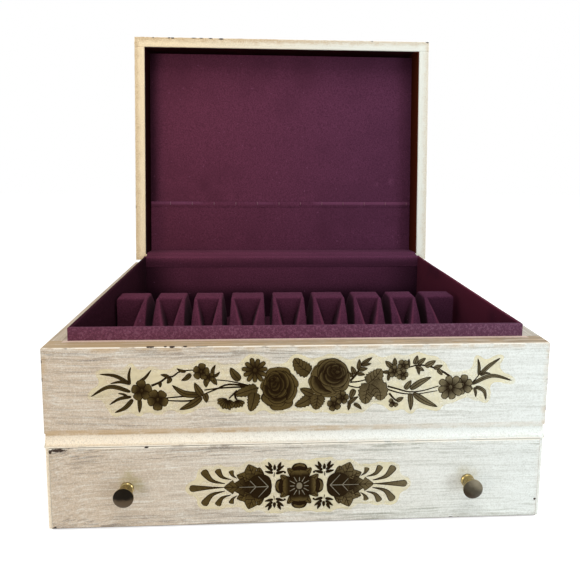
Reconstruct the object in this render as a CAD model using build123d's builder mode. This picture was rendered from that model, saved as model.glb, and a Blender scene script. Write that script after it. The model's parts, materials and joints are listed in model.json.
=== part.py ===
"""Silverware chest: lidded, cloth-lined upper box over a full-width drawer.

Frame: origin at the centre of the underside, +X right, -Y front, +Z up, millimetres.
Rest pose: lid open on its stop, drawer shut.
"""
from build123d import *
import os

os.makedirs("parts", exist_ok=True)

# Case
case_width = 406.4
case_depth = 304.8
case_height = 152.4  # table to rim
case_wall = 15.5
edge_round = 1.0
fine_round = 0.5
drawer_bay_height = 70.4  # table to the underside of the moulding
moulding_height = 12.0
moulding_recess = 3.0  # top of the cove behind the front face
moulding_fillet = 1.9  # flat at the foot of the cove
moulding_quirk = 0.7
cove_hollow = 0.7
side_edge_setback = 2.0  # front edges of the side boards behind the front face
side_strip = 2.3  # side board left showing beside the drawer front
bottom_thickness = 6.4
well_floor_thickness = 6.0
well_floor_lift = 1.0  # above the underside of the moulding
panel_groove = 5.0

# Cloth-covered lining boards of the well
lip_height = 10.5  # lining above the rim
liner_thickness = 3.0
liner_floor_thickness = 2.5

# Rack of blocks
rack_left_gap = 2.5  # ends of the rack to the lining
rack_right_gap = 8.4
block_widths = (36.4, 39.4, 38.7, 44.0, 42.6, 43.3, 39.1, 37.7, 37.3)  # relative, each with half its slots
rack_base_thickness = 6.0
rack_offset = -6.0  # centre line of the rack from the centre of the chest
block_top_depth = 20.0
block_foot_depth = 76.0
block_top_drop = 11.4  # block tops below the lining's edge
block_bulge = 9.0  # crown of the curled wings beyond a straight slope
slot_mouth = 9.9
slot_foot = 4.6
slot_taper_height = 33.0
wing_top_width = 2.1
wing_throat_gap = 9.4  # hollow between a block's wings where they have drawn together
wing_throat_drop = 25.0  # block top to there
wing_foot_gap = 7.0
block_corner_round = 3.0

# Lid
lid_open_angle = 94.0
lid_wall = 13.5
lid_back_wall = 8.0
lid_recess = 31.0  # rim plane to the cloth-covered panel
lid_panel_thickness = 2.5
lid_top_thickness = 6.0
lid_top_round = 2.0
lid_lining_thickness = 1.2
lid_lining_setback = 1.0
pocket_band_height = 70.0
pocket_band_thickness = 2.0
pocket_band_clearance = 0.6
hinge_cover_width = 5.0
hinge_cover_thickness = 1.0
hinge_cover_clearance = 0.4

# Stop hinges
hinge_length = 50.0
hinge_inset = 83.2  # end of the case to the middle of a hinge
hinge_offset = 2.5  # pin axis behind the back face
hinge_clearance = 0.3
knuckle_count = 5
pin_radius = 1.0
pin_clearance = 0.1
leaf_thickness = 1.2
case_leaf_width = 11.0
lid_leaf_width = 7.0
stop_length = 6.0
stop_gap = 0.1
hinge_screw_count = 3
hinge_screw_pitch = 18.0
hinge_screw_radius = 1.0
hinge_screw_head_radius = 1.9
hinge_screw_length = 8.0
hinge_screw_point_radius = 0.25
hinge_screw_point_length = 2.0
screw_clearance = 0.05

# Drawer
drawer_front_thickness = 12.0
drawer_edge_gap = 0.5
drawer_top_gap = 0.8
drawer_foot_gap = 0.8
drawer_side_clearance = 1.0
drawer_run_clearance = 0.5
drawer_back_clearance = 4.0
drawer_wall = 9.0
drawer_side_height = 55.0
drawer_back_drop = 4.0
drawer_panel_height = 4.0  # underside of the sides to the underside of the bottom panel
drawer_panel_thickness = 4.0
drawer_panel_groove = 4.0
felt_thickness = 1.5
felt_top_setback = 4.0

# Knobs
knob_inset = 63.6  # end of the case to the middle of a knob
knob_height = 34.6
knob_projection = 14.0
knob_radius = 8.0
knob_rim_thickness = 2.0
knob_dome = 2.2
knob_foot_radius = 5.5
knob_foot_thickness = 1.2
knob_neck_radius = 4.8
knob_neck_share = 0.4  # where the flare starts, as a share of the way to the disc
knob_screw_radius = 2.0
knob_screw_engagement = 8.0
knob_screw_head_radius = 3.6
knob_screw_head_thickness = 2.2
knob_screw_clearance = 0.2
knob_bore_clearance = 0.05
knob_bore_spare = 1.0  # bore beyond the end of the screw

# Places worked out from the sizes above
half_width = case_width / 2
front_y = -case_depth / 2
back_y = case_depth / 2
inner_x = half_width - case_wall
inner_front_y = front_y + case_wall
inner_back_y = back_y - case_wall
moulding_top = drawer_bay_height + moulding_height
well_floor_z = drawer_bay_height + well_floor_lift
well_floor_top = well_floor_z + well_floor_thickness
lip_z = case_height + lip_height
lining_x = inner_x - liner_thickness
lining_front_y = inner_front_y + liner_thickness
lining_back_y = inner_back_y - liner_thickness
well_z = well_floor_top + liner_floor_thickness

hinge_y = back_y + hinge_offset
knuckle_radius = hinge_offset - hinge_clearance
knuckle_pitch = hinge_length / knuckle_count
hinge_centres = (hinge_inset - half_width, half_width - hinge_inset)
hands = ("left", "right")

# The lid is drawn as it lies when shut, on a plane turned open about the hinge axis
hinge_plane = Plane((0, hinge_y, case_height))
lid_plane = hinge_plane.rotated((-lid_open_angle, 0, 0))
lid_axis = Axis(lid_plane.origin, lid_plane.z_dir)
lid_front_axis = Axis(lid_plane.origin, lid_plane.y_dir)
lid_back_y = -hinge_offset
lid_front_y = lid_back_y - case_depth
lid_inner_x = half_width - lid_wall
lid_inner_front_y = lid_front_y + lid_wall
lid_inner_back_y = lid_back_y - lid_back_wall
rail_height = lid_recess + lid_panel_thickness

drawer_front_half = half_width - side_strip - drawer_edge_gap
drawer_front_top = drawer_bay_height - drawer_top_gap
drawer_joint_y = front_y + drawer_front_thickness
drawer_outer_x = inner_x - drawer_side_clearance
drawer_inner_x = drawer_outer_x - drawer_wall
drawer_back_y = inner_back_y - drawer_back_clearance
drawer_inner_back_y = drawer_back_y - drawer_wall
drawer_foot_z = bottom_thickness + drawer_run_clearance
drawer_top_z = drawer_foot_z + drawer_side_height
drawer_panel_z = drawer_foot_z + drawer_panel_height
drawer_floor_z = drawer_panel_z + drawer_panel_thickness
knob_centres = (knob_inset - half_width, half_width - knob_inset)


def slab(x_span, y_span, z_span, mode=Mode.ADD):
    """Add or cut a straight block between two limits on each axis of the active part."""
    spans = (x_span, y_span, z_span)
    with Locations(tuple((low + high) / 2 for low, high in spans)):
        Box(*(high - low for low, high in spans), mode=mode)


def side_span(side, near, far):
    """Limits along X of something on the left (-1) or right (+1) of the middle."""
    return tuple(sorted((side * near, side * far)))


def outermost(shapes, side):
    """The leftmost (-1) or rightmost (+1) of the shapes."""
    return shapes.sort_by(Axis.X)[0 if side < 0 else -1]


def save(builder, name):
    """Label a finished piece and write its STEP file."""
    builder.part.label = name
    export_step(builder.part, f"parts/{name}.step")


# ---------------------------------------------------------------- case
with BuildPart() as case_front:
    slab((-half_width, half_width), (front_y, inner_front_y), (moulding_top, case_height))
    top_edges = case_front.faces().sort_by(Axis.Z)[-1].edges()
    rounded_edges = top_edges.filter_by(Axis.Y) + case_front.edges().filter_by(Axis.Z).group_by(Axis.Y)[0]
    fillet([top_edges.filter_by(Axis.X).sort_by(Axis.Y)[0], *rounded_edges], edge_round)
save(case_front, "case_front")

for side, name in ((-1, "case_left"), (1, "case_right")):
    with BuildPart() as case_side:
        with BuildSketch(Plane.YZ.offset(min(side * inner_x, side * half_width))):
            with BuildLine():
                Polyline(
                    (front_y + side_edge_setback, 0),
                    (front_y + side_edge_setback, drawer_bay_height),
                    (inner_front_y, drawer_bay_height),
                    (inner_front_y, case_height),
                    (back_y, case_height),
                    (back_y, 0),
                    close=True,
                )
            make_face()
        extrude(amount=case_wall)
        top_edge = outermost(case_side.edges().filter_by(Axis.Y).group_by(Axis.Z)[-1], side)
        back_edge = outermost(case_side.edges().filter_by(Axis.Z).group_by(Axis.Y)[-1], side)
        fillet([top_edge, back_edge], edge_round)
        # Rebate that takes the end of the drawer front
        slab(
            side_span(side, inner_x, half_width - side_strip),
            (front_y, drawer_joint_y),
            (0, drawer_bay_height),
            mode=Mode.SUBTRACT,
        )
        # Rebate for the bottom board and groove for the board under the well
        slab(
            side_span(side, inner_x, inner_x + panel_groove),
            (drawer_joint_y, inner_back_y + panel_groove),
            (0, bottom_thickness),
            mode=Mode.SUBTRACT,
        )
        slab(
            side_span(side, inner_x, inner_x + panel_groove),
            (inner_front_y, inner_back_y + panel_groove),
            (well_floor_z, well_floor_top),
            mode=Mode.SUBTRACT,
        )
    save(case_side, name)

with BuildPart() as case_back:
    slab((-inner_x, inner_x), (inner_back_y, back_y), (0, case_height))
    fillet(case_back.edges().filter_by(Axis.X).group_by(Axis.Z)[-1].sort_by(Axis.Y)[-1], fine_round)
    for z_span in ((0, bottom_thickness), (well_floor_z, well_floor_top)):
        slab((-inner_x, inner_x), (inner_back_y, inner_back_y + panel_groove), z_span, mode=Mode.SUBTRACT)
    for centre in hinge_centres:
        slab(
            (centre - hinge_length / 2, centre + hinge_length / 2),
            (back_y - case_leaf_width, back_y),
            (case_height - leaf_thickness, case_height),
            mode=Mode.SUBTRACT,
        )
        with Locations((centre, back_y - case_leaf_width / 2, case_height)):
            with GridLocations(hinge_screw_pitch, 1, hinge_screw_count, 1):
                Hole(hinge_screw_radius + screw_clearance, depth=hinge_screw_length + screw_clearance)
save(case_back, "case_back")

with BuildPart() as case_bottom:
    slab(
        (-inner_x - panel_groove, inner_x + panel_groove),
        (drawer_joint_y, inner_back_y + panel_groove),
        (0, bottom_thickness),
    )
save(case_bottom, "case_bottom")

with BuildPart() as front_moulding:
    with BuildSketch(Plane.YZ.offset(-half_width)):
        with BuildLine():
            foot_top = drawer_bay_height + moulding_fillet
            cove_foot = (front_y + moulding_quirk, foot_top + moulding_quirk)
            cove_head = (front_y + moulding_recess, moulding_top)
            Polyline(
                cove_head,
                (inner_front_y, moulding_top),
                (inner_front_y, drawer_bay_height),
                (front_y, drawer_bay_height),
                (front_y, foot_top),
                (front_y + moulding_quirk, foot_top),
                cove_foot,
            )
            SagittaArc(cove_foot, cove_head, -cove_hollow)
        make_face()
    extrude(amount=case_width)
save(front_moulding, "front_moulding")

with BuildPart() as well_floor_board:
    slab(
        (-inner_x - panel_groove, inner_x + panel_groove),
        (inner_front_y, inner_back_y + panel_groove),
        (well_floor_z, well_floor_top),
    )
save(well_floor_board, "well_floor_board")

# ---------------------------------------------------------------- lining of the well
for y_span, name in (
    ((inner_front_y, lining_front_y), "liner_front"),
    ((lining_back_y, inner_back_y), "liner_back"),
):
    with BuildPart() as liner_end:
        slab((-inner_x, inner_x), y_span, (well_floor_top, lip_z))
        fillet(liner_end.edges().filter_by(Axis.X).group_by(Axis.Z)[-1], edge_round)
        fillet(liner_end.edges().filter_by(Axis.Y).group_by(Axis.Z)[-1], fine_round)
    save(liner_end, name)

for side, name in ((-1, "liner_left"), (1, "liner_right")):
    with BuildPart() as liner_side:
        slab(side_span(side, lining_x, inner_x), (lining_front_y, lining_back_y), (well_floor_top, lip_z))
        fillet(liner_side.edges().filter_by(Axis.Y).group_by(Axis.Z)[-1], edge_round)
    save(liner_side, name)

with BuildPart() as liner_floor:
    slab((-lining_x, lining_x), (lining_front_y, lining_back_y), (well_floor_top, well_z))
save(liner_floor, "liner_floor")

# ---------------------------------------------------------------- rack
rack_left = rack_left_gap - lining_x
rack_length = 2 * lining_x - rack_left_gap - rack_right_gap
width_shares = [width / sum(block_widths) for width in block_widths]
cell_edges = [rack_left + rack_length * sum(width_shares[:count]) for count in range(len(block_widths) + 1)]
block_foot_z = well_z + rack_base_thickness
block_top_z = lip_z - block_top_drop
taper_z = block_top_z - slot_taper_height

with BuildPart() as rack_base:
    slab(
        (rack_left, rack_left + rack_length),
        (rack_offset - block_foot_depth / 2, rack_offset + block_foot_depth / 2),
        (well_z, block_foot_z),
    )
save(rack_base, "rack_base")


def block_edge(cell_edge, inward, slotted):
    """Outline points from foot to top along one side of a block, tapered where a slot runs beside it."""
    foot_inset = slot_foot / 2 if slotted else 0
    mouth_inset = slot_mouth / 2 if slotted else 0
    return [
        (cell_edge + inward * foot_inset, block_foot_z),
        (cell_edge + inward * foot_inset, taper_z),
        (cell_edge + inward * mouth_inset, block_top_z),
    ]


def hollow_edge(middle, top_edge, outward):
    """Outline points from foot to top along the inner edge of a wing."""
    return [
        (middle + outward * wing_foot_gap / 2, block_foot_z),
        (middle + outward * wing_throat_gap / 2, block_top_z - wing_throat_drop),
        (top_edge - outward * wing_top_width, block_top_z),
    ]


def open_edge(x):
    """Outline points from foot to top where a hollow runs out through the side of a block."""
    return [(x, block_foot_z), (x, block_top_z)]


for index, (cell_left, cell_right) in enumerate(zip(cell_edges, cell_edges[1:])):
    wing_left = index > 0
    wing_right = index < len(block_widths) - 1
    left_edge = block_edge(cell_left, 1, wing_left)
    right_edge = block_edge(cell_right, -1, wing_right)
    middle = (left_edge[-1][0] + right_edge[-1][0]) / 2
    front_foot = rack_offset - block_foot_depth / 2
    back_foot = rack_offset + block_foot_depth / 2
    front_top = rack_offset - block_top_depth / 2
    back_top = rack_offset + block_top_depth / 2
    with BuildPart() as rack_block:
        # Outline seen from the front
        with BuildSketch(Plane.XZ.offset(-back_foot)):
            with BuildLine():
                Polyline(*left_edge, *reversed(right_edge), close=True)
            make_face()
        extrude(amount=block_foot_depth)
        fillet(rack_block.edges().filter_by(Axis.Y).group_by(Axis.Z)[-1], block_corner_round)
        # Outline seen from the side: flat top, curled wings sweeping down to the foot
        with BuildSketch(Plane.YZ.offset(cell_left)):
            with BuildLine():
                Polyline((front_top, block_top_z), (back_top, block_top_z))
                SagittaArc((back_top, block_top_z), (back_foot, block_foot_z), block_bulge)
                Line((back_foot, block_foot_z), (front_foot, block_foot_z))
                SagittaArc((front_foot, block_foot_z), (front_top, block_top_z), block_bulge)
            make_face()
        extrude(amount=cell_right - cell_left, mode=Mode.INTERSECT)
        # Hollow between the wings, in front and behind; it runs out where a block has no wing
        hollow_left = open_edge(cell_left - slot_foot)
        hollow_right = open_edge(cell_right + slot_foot)
        if wing_left:
            hollow_left = hollow_edge(middle, left_edge[-1][0], -1)
        if wing_right:
            hollow_right = hollow_edge(middle, right_edge[-1][0], 1)
        for y_start in (front_top, back_foot + block_bulge):
            with BuildSketch(Plane.XZ.offset(-y_start)):
                with BuildLine():
                    Polyline(*hollow_left, *reversed(hollow_right), close=True)
                make_face()
            extrude(amount=back_foot + block_bulge - back_top, mode=Mode.SUBTRACT)
    save(rack_block, f"rack_block_{index + 1}")

# ---------------------------------------------------------------- lid
with BuildPart(lid_plane) as lid_top:
    slab((-half_width, half_width), (lid_front_y, lid_back_y), (rail_height, rail_height + lid_top_thickness))
    fillet(lid_top.edges().filter_by(lid_axis), edge_round)
    fillet(lid_top.faces().sort_by(lid_axis)[-1].edges(), lid_top_round)
save(lid_top, "lid_top")

with BuildPart(lid_plane) as lid_front_rail:
    slab((-half_width, half_width), (lid_front_y, lid_inner_front_y), (0, rail_height))
    rim_edges = lid_front_rail.faces().sort_by(lid_axis)[0].edges().filter_by(Axis.X)
    corner_edges = lid_front_rail.edges().filter_by(lid_axis).group_by(lid_front_axis)[0]
    fillet([*rim_edges, *corner_edges], edge_round)
save(lid_front_rail, "lid_front_rail")

for side, name in ((-1, "lid_left_rail"), (1, "lid_right_rail")):
    with BuildPart(lid_plane) as lid_side_rail:
        slab(side_span(side, lid_inner_x, half_width), (lid_inner_front_y, lid_back_y), (0, rail_height))
        rim_edges = lid_side_rail.faces().sort_by(lid_axis)[0].edges().filter_by(lid_front_axis)
        corner_edge = outermost(lid_side_rail.edges().filter_by(lid_axis).group_by(lid_front_axis)[-1], side)
        fillet([*rim_edges, corner_edge], edge_round)
    save(lid_side_rail, name)

with BuildPart(lid_plane) as lid_back_rail:
    slab((-lid_inner_x, lid_inner_x), (lid_inner_back_y, lid_back_y), (0, rail_height))
    for centre in hinge_centres:
        slab(
            (centre - hinge_length / 2, centre + hinge_length / 2),
            (lid_back_y - lid_leaf_width, lid_back_y),
            (0, leaf_thickness),
            mode=Mode.SUBTRACT,
        )
        with Locations(Location((centre, lid_back_y - lid_leaf_width / 2, 0), (180, 0, 0))):
            with GridLocations(hinge_screw_pitch, 1, hinge_screw_count, 1):
                Hole(hinge_screw_radius + screw_clearance, depth=hinge_screw_length + screw_clearance)
save(lid_back_rail, "lid_back_rail")

with BuildPart(lid_plane) as lid_panel:
    slab((-lid_inner_x, lid_inner_x), (lid_inner_front_y, lid_inner_back_y), (lid_recess, rail_height))
save(lid_panel, "lid_panel")

lid_lining_x = lid_inner_x - lid_lining_thickness
with BuildPart(lid_plane) as lid_wall_lining:
    slab((-lid_inner_x, lid_inner_x), (lid_inner_front_y, lid_inner_back_y), (lid_lining_setback, lid_recess))
    slab(
        (-lid_lining_x, lid_lining_x),
        (lid_inner_front_y + lid_lining_thickness, lid_inner_back_y - lid_lining_thickness),
        (lid_lining_setback, lid_recess),
        mode=Mode.SUBTRACT,
    )
save(lid_wall_lining, "lid_wall_lining")

band_foot_y = lid_inner_back_y - lid_lining_thickness - pocket_band_clearance
with BuildPart(lid_plane) as pocket_band:
    slab(
        (-lid_lining_x + pocket_band_clearance, lid_lining_x - pocket_band_clearance),
        (band_foot_y - pocket_band_height, band_foot_y),
        (lid_recess - pocket_band_thickness, lid_recess),
    )
save(pocket_band, "pocket_band")

with BuildPart() as hinge_cover:
    slab(
        (-inner_x, inner_x),
        (inner_back_y + hinge_cover_clearance, inner_back_y + hinge_cover_clearance + hinge_cover_width),
        (case_height, case_height + hinge_cover_thickness),
    )
save(hinge_cover, "hinge_cover")

# ---------------------------------------------------------------- stop hinges
def along_hinge(low, high, radius, mode=Mode.ADD):
    """Add or cut a round bar on the hinge axis of the active part."""
    with Locations(Location(((low + high) / 2, 0, 0), (0, 90, 0))):
        Cylinder(radius, high - low, mode=mode)


def knuckle_spans(centre, first_knuckle):
    """Limits along the pin of every other knuckle of one hinge."""
    start = centre - hinge_length / 2 + hinge_clearance / 2
    length = knuckle_pitch - hinge_clearance
    starts = [start + number * knuckle_pitch for number in range(first_knuckle, knuckle_count, 2)]
    return [(low, low + length) for low in starts]


def hinge_leaf(centre, y_span, z_span, first_knuckle, screw_tilt):
    """Add one hinge leaf, its knuckles and its bored and countersunk holes to the active part."""
    start = centre - hinge_length / 2
    slab((start, start + hinge_length), y_span, z_span)
    for low, high in knuckle_spans(centre, first_knuckle):
        slab((low, high), (y_span[1], 0), z_span)
        along_hinge(low, high, knuckle_radius)
    along_hinge(start, start + hinge_length, pin_radius + pin_clearance, mode=Mode.SUBTRACT)
    with Locations(Location((centre, (y_span[0] + y_span[1]) / 2, 0), (screw_tilt, 0, 0))):
        with GridLocations(hinge_screw_pitch, 1, hinge_screw_count, 1):
            CounterSinkHole(
                hinge_screw_radius + screw_clearance,
                hinge_screw_head_radius + screw_clearance,
                depth=leaf_thickness,
                counter_sink_angle=90,
            )


case_leaf_span = (-hinge_offset - case_leaf_width, -hinge_offset)
lid_leaf_span = (-hinge_offset - lid_leaf_width, -hinge_offset)

for centre, hand in zip(hinge_centres, hands):
    with BuildPart(hinge_plane) as case_leaf:
        hinge_leaf(centre, case_leaf_span, (-leaf_thickness, 0), 0, 0)
    save(case_leaf, f"hinge_leaf_case_{hand}")

    with BuildPart(lid_plane) as lid_leaf:
        hinge_leaf(centre, lid_leaf_span, (0, leaf_thickness), 1, 180)
        # Stops that bear on the back face of the case when the lid is open
        for low, high in knuckle_spans(centre, 1):
            with BuildSketch(Plane.YZ.offset(low)):
                with Locations((back_y + stop_gap, case_height)):
                    Rectangle(leaf_thickness, stop_length, align=(Align.MIN, Align.MAX))
            extrude(amount=high - low)
    save(lid_leaf, f"hinge_leaf_lid_{hand}")

    with BuildPart() as hinge_pin:
        with BuildSketch(Plane.YZ.offset(centre - hinge_length / 2)):
            with Locations((hinge_y, case_height)):
                Circle(pin_radius)
        extrude(amount=hinge_length)
    save(hinge_pin, f"hinge_pin_{hand}")


def hinge_screw():
    """Add a countersunk wood screw with its head flush at the active location."""
    head_depth = hinge_screw_head_radius - hinge_screw_radius
    shank_end = hinge_screw_length - hinge_screw_point_length
    for top, bottom, top_radius, bottom_radius in (
        (0, head_depth, hinge_screw_head_radius, hinge_screw_radius),
        (head_depth, shank_end, hinge_screw_radius, hinge_screw_radius),
        (shank_end, hinge_screw_length, hinge_screw_radius, hinge_screw_point_radius),
    ):
        with Locations((0, 0, -(top + bottom) / 2)):
            if top_radius == bottom_radius:
                Cylinder(top_radius, bottom - top)
            else:
                Cone(bottom_radius, top_radius, bottom - top)


screw_row = hinge_screw_pitch * (hinge_screw_count - 1)
screw_steps = [hinge_screw_pitch * number - screw_row / 2 for number in range(hinge_screw_count)]
screw_places = [centre + step for centre in hinge_centres for step in screw_steps]

with BuildPart(hinge_plane) as hinge_screws_case:
    with Locations(*[(x, sum(case_leaf_span) / 2, 0) for x in screw_places]):
        hinge_screw()
save(hinge_screws_case, "hinge_screws_case")

with BuildPart(lid_plane) as hinge_screws_lid:
    with Locations(*[Location((x, sum(lid_leaf_span) / 2, 0), (180, 0, 0)) for x in screw_places]):
        hinge_screw()
save(hinge_screws_lid, "hinge_screws_lid")

# ---------------------------------------------------------------- drawer
with BuildPart() as drawer_front:
    slab(
        (-drawer_front_half, drawer_front_half),
        (front_y, drawer_joint_y),
        (drawer_foot_gap, drawer_front_top),
    )
    fillet(drawer_front.faces().sort_by(Axis.Y)[0].edges(), edge_round)
    slab(
        (-drawer_inner_x - drawer_panel_groove, drawer_inner_x + drawer_panel_groove),
        (drawer_joint_y - drawer_panel_groove, drawer_joint_y),
        (drawer_panel_z, drawer_floor_z),
        mode=Mode.SUBTRACT,
    )
    for x in knob_centres:
        with Locations(Location((x, drawer_joint_y, knob_height), (-90, 0, 0))):
            CounterBoreHole(
                knob_screw_radius + knob_screw_clearance,
                knob_screw_head_radius + knob_screw_clearance,
                knob_screw_head_thickness + knob_screw_clearance,
            )
save(drawer_front, "drawer_front")

for side, name in ((-1, "drawer_left"), (1, "drawer_right")):
    with BuildPart() as drawer_side:
        slab(
            side_span(side, drawer_inner_x, drawer_outer_x),
            (drawer_joint_y, drawer_back_y),
            (drawer_foot_z, drawer_top_z),
        )
        fillet(drawer_side.edges().filter_by(Axis.Y).group_by(Axis.Z)[-1], edge_round)
        slab(
            side_span(side, drawer_inner_x, drawer_inner_x + drawer_panel_groove),
            (drawer_joint_y, drawer_back_y),
            (drawer_panel_z, drawer_floor_z),
            mode=Mode.SUBTRACT,
        )
    save(drawer_side, name)

with BuildPart() as drawer_back:
    slab(
        (-drawer_inner_x, drawer_inner_x),
        (drawer_inner_back_y, drawer_back_y),
        (drawer_floor_z, drawer_top_z - drawer_back_drop),
    )
    fillet(drawer_back.edges().filter_by(Axis.X).group_by(Axis.Z)[-1], edge_round)
save(drawer_back, "drawer_back")

with BuildPart() as drawer_bottom:
    slab(
        (-drawer_inner_x - drawer_panel_groove, drawer_inner_x + drawer_panel_groove),
        (drawer_joint_y - drawer_panel_groove, drawer_back_y),
        (drawer_panel_z, drawer_floor_z),
    )
save(drawer_bottom, "drawer_bottom")

with BuildPart() as drawer_floor_felt:
    slab(
        (-drawer_inner_x, drawer_inner_x),
        (drawer_joint_y, drawer_inner_back_y),
        (drawer_floor_z, drawer_floor_z + felt_thickness),
    )
save(drawer_floor_felt, "drawer_floor_felt")

felt_z_span = (drawer_floor_z + felt_thickness, drawer_top_z - drawer_back_drop - felt_top_setback)
with BuildPart() as drawer_wall_felt:
    slab((-drawer_inner_x, drawer_inner_x), (drawer_joint_y, drawer_inner_back_y), felt_z_span)
    slab(
        (-drawer_inner_x + felt_thickness, drawer_inner_x - felt_thickness),
        (drawer_joint_y + felt_thickness, drawer_inner_back_y - felt_thickness),
        felt_z_span,
        mode=Mode.SUBTRACT,
    )
save(drawer_wall_felt, "drawer_wall_felt")

# ---------------------------------------------------------------- knobs
disc_back = knob_projection - knob_dome - knob_rim_thickness
disc_front = knob_projection - knob_dome
for x, hand in zip(knob_centres, hands):
    # Profile plane: first axis runs out of the drawer front, second axis is the radius
    profile_plane = Plane((x, front_y, knob_height), x_dir=(0, -1, 0), z_dir=(1, 0, 0))
    knob_axis = Axis((x, front_y, knob_height), (0, -1, 0))
    with BuildPart() as knob:
        with BuildSketch(profile_plane):
            with BuildLine():
                neck_end = (disc_back * knob_neck_share, knob_neck_radius)
                disc_edge = (disc_back, knob_radius - knob_rim_thickness / 2)
                rim_edge = (disc_back + knob_rim_thickness / 2, knob_radius)
                Polyline(
                    (0, 0),
                    (0, knob_foot_radius),
                    (knob_foot_thickness, knob_foot_radius),
                    (knob_foot_thickness + knob_foot_radius - knob_neck_radius, knob_neck_radius),
                    neck_end,
                )
                TangentArc(neck_end, disc_edge, tangent=(1, 0))
                Polyline(disc_edge, rim_edge, (disc_front, knob_radius))
                TangentArc((knob_projection, 0), (disc_front, knob_radius), tangent=(0, 1))
                Line((knob_projection, 0), (0, 0))
            make_face()
        revolve(axis=knob_axis)
        with BuildSketch(Plane.XZ.offset(-front_y)):
            with Locations((x, knob_height)):
                Circle(knob_screw_radius + knob_bore_clearance)
        extrude(amount=knob_screw_engagement + knob_bore_spare, mode=Mode.SUBTRACT)
    save(knob, f"knob_{hand}")

head_back_y = drawer_joint_y
head_front_y = drawer_joint_y - knob_screw_head_thickness
with BuildPart() as knob_screws:
    for x in knob_centres:
        with BuildSketch(Plane.XZ.offset(-head_back_y)):
            with Locations((x, knob_height)):
                Circle(knob_screw_head_radius)
        extrude(amount=knob_screw_head_thickness)
        with BuildSketch(Plane.XZ.offset(-head_front_y)):
            with Locations((x, knob_height)):
                Circle(knob_screw_radius)
        extrude(amount=head_front_y - front_y + knob_screw_engagement)
save(knob_screws, "knob_screws")
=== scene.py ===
"""Silverware chest: paint, cloth lining, rack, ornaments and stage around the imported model.

Frame: origin at the centre of the underside, +X right, -Y front, +Z up, metres.
The lid's own pieces are drawn as it lies shut, in the coordinates of LID, and then turned open.
"""

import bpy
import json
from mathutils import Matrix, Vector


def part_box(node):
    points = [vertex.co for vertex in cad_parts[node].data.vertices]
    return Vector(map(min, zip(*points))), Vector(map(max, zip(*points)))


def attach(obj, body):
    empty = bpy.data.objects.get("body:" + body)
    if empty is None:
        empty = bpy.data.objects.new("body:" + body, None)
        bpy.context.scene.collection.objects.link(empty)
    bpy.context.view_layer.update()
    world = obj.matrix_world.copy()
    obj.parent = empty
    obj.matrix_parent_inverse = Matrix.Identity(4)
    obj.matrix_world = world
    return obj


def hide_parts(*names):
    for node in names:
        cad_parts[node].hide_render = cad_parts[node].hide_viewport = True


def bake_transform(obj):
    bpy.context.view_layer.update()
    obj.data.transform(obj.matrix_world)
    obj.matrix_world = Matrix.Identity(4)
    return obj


bl_info = {
    "name": "Silverware Chest",
    "version": (1, 0, 0),
    "blender": (4, 5, 0),
    "location": "3D View > Sidebar > Chest",
    "description": "Finishes a painted, cloth-lined silverware chest around its packed model",
    "category": "Object",
}

import json
import math
import random

import bpy
from bpy.props import FloatProperty, FloatVectorProperty, IntProperty, PointerProperty
from mathutils import Matrix, Vector, kdtree, noise

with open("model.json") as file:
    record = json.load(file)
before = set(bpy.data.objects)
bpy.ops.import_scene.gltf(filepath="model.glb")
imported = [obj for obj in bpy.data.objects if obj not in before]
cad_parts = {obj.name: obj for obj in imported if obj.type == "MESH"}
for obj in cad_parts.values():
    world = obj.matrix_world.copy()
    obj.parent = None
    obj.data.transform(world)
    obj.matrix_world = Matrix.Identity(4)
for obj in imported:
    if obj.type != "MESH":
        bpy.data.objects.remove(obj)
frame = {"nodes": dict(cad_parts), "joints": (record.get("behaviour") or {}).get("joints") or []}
NODES = frame["nodes"]

MM = 0.001
HINGE = next(joint for joint in frame["joints"] if joint["name"] == "lid_hinge")
LID_OPEN = math.radians(HINGE["range_deg"][1])
LID = Matrix.Translation(HINGE["pos_m"]) @ Matrix.Rotation(-LID_OPEN, 4, "X")


# ---------------------------------------------------------------- settings
def colour(name, description, default):
    return FloatVectorProperty(
        name=name, description=description, subtype="COLOR", size=3, min=0.0, max=1.0, default=default
    )


def number(name, description, default, **kind):
    return FloatProperty(name=name, description=description, default=default, **kind)


def length(name, description, default):
    return number(name, description, default, min=0.0, unit="LENGTH")


class PaintSettings(bpy.types.PropertyGroup):
    # Painted light: the paint runs from warm cream at the left to a brighter cool white at the right, partly
    # yellowed paint and partly painted warm and cool lamp light
    warm: colour("Warm cream", "Paint towards the left end, yellowed", (0.56, 0.455, 0.345))
    cool: colour("Cool white", "Paint towards the right end", (0.745, 0.785, 0.765))
    streak: colour("Glaze streaks", "Grey-brown glaze left in the brush marks", (0.26, 0.22, 0.18))
    shade: colour("Cool streaks", "Grey-green glaze in the brush marks at the right", (0.25, 0.26, 0.22))
    ochre: colour("Ochre glaze", "Glaze in corners and on the rim", (0.50, 0.35, 0.19))
    olive: colour("Olive dirt", "Tarnish and dirt round the knobs", (0.36, 0.31, 0.13))
    grime: colour("Grime", "Grey-brown handling marks on the rim and the arrises", (0.27, 0.23, 0.18))
    chip: colour("Chips", "Dark wood under chipped paint", (0.030, 0.016, 0.010))
    bare: colour("Bare wood", "Unpainted boards of the drawer and bottom", (0.42, 0.27, 0.15))


class ClothSettings(bpy.types.PropertyGroup):
    # Painted light: plum at the left and violet at the right paint warm and cool lamp light on the flannel
    plum: colour("Plum", "Flannel towards the left end", (0.118, 0.029, 0.055))
    # Painted light: a lit, redder copy of the plum for the well's right wall
    lit_plum: colour("Lit plum", "Flannel of the well's right wall, which faces the light", (0.128, 0.023, 0.045))
    violet: colour("Violet plum", "Flannel towards the right end", (0.095, 0.028, 0.062))
    # Near black: painted shade on the lid's inner walls
    wall: colour("Lid wall", "Cloth on the inner faces of the lid's rails", (0.018, 0.004, 0.005))
    thread: colour("Thread", "Tacking thread of the knife pockets", (0.150, 0.062, 0.088))
    nap: length("Nap", "Unevenness of the stretched cloth", 0.00025)


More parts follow.
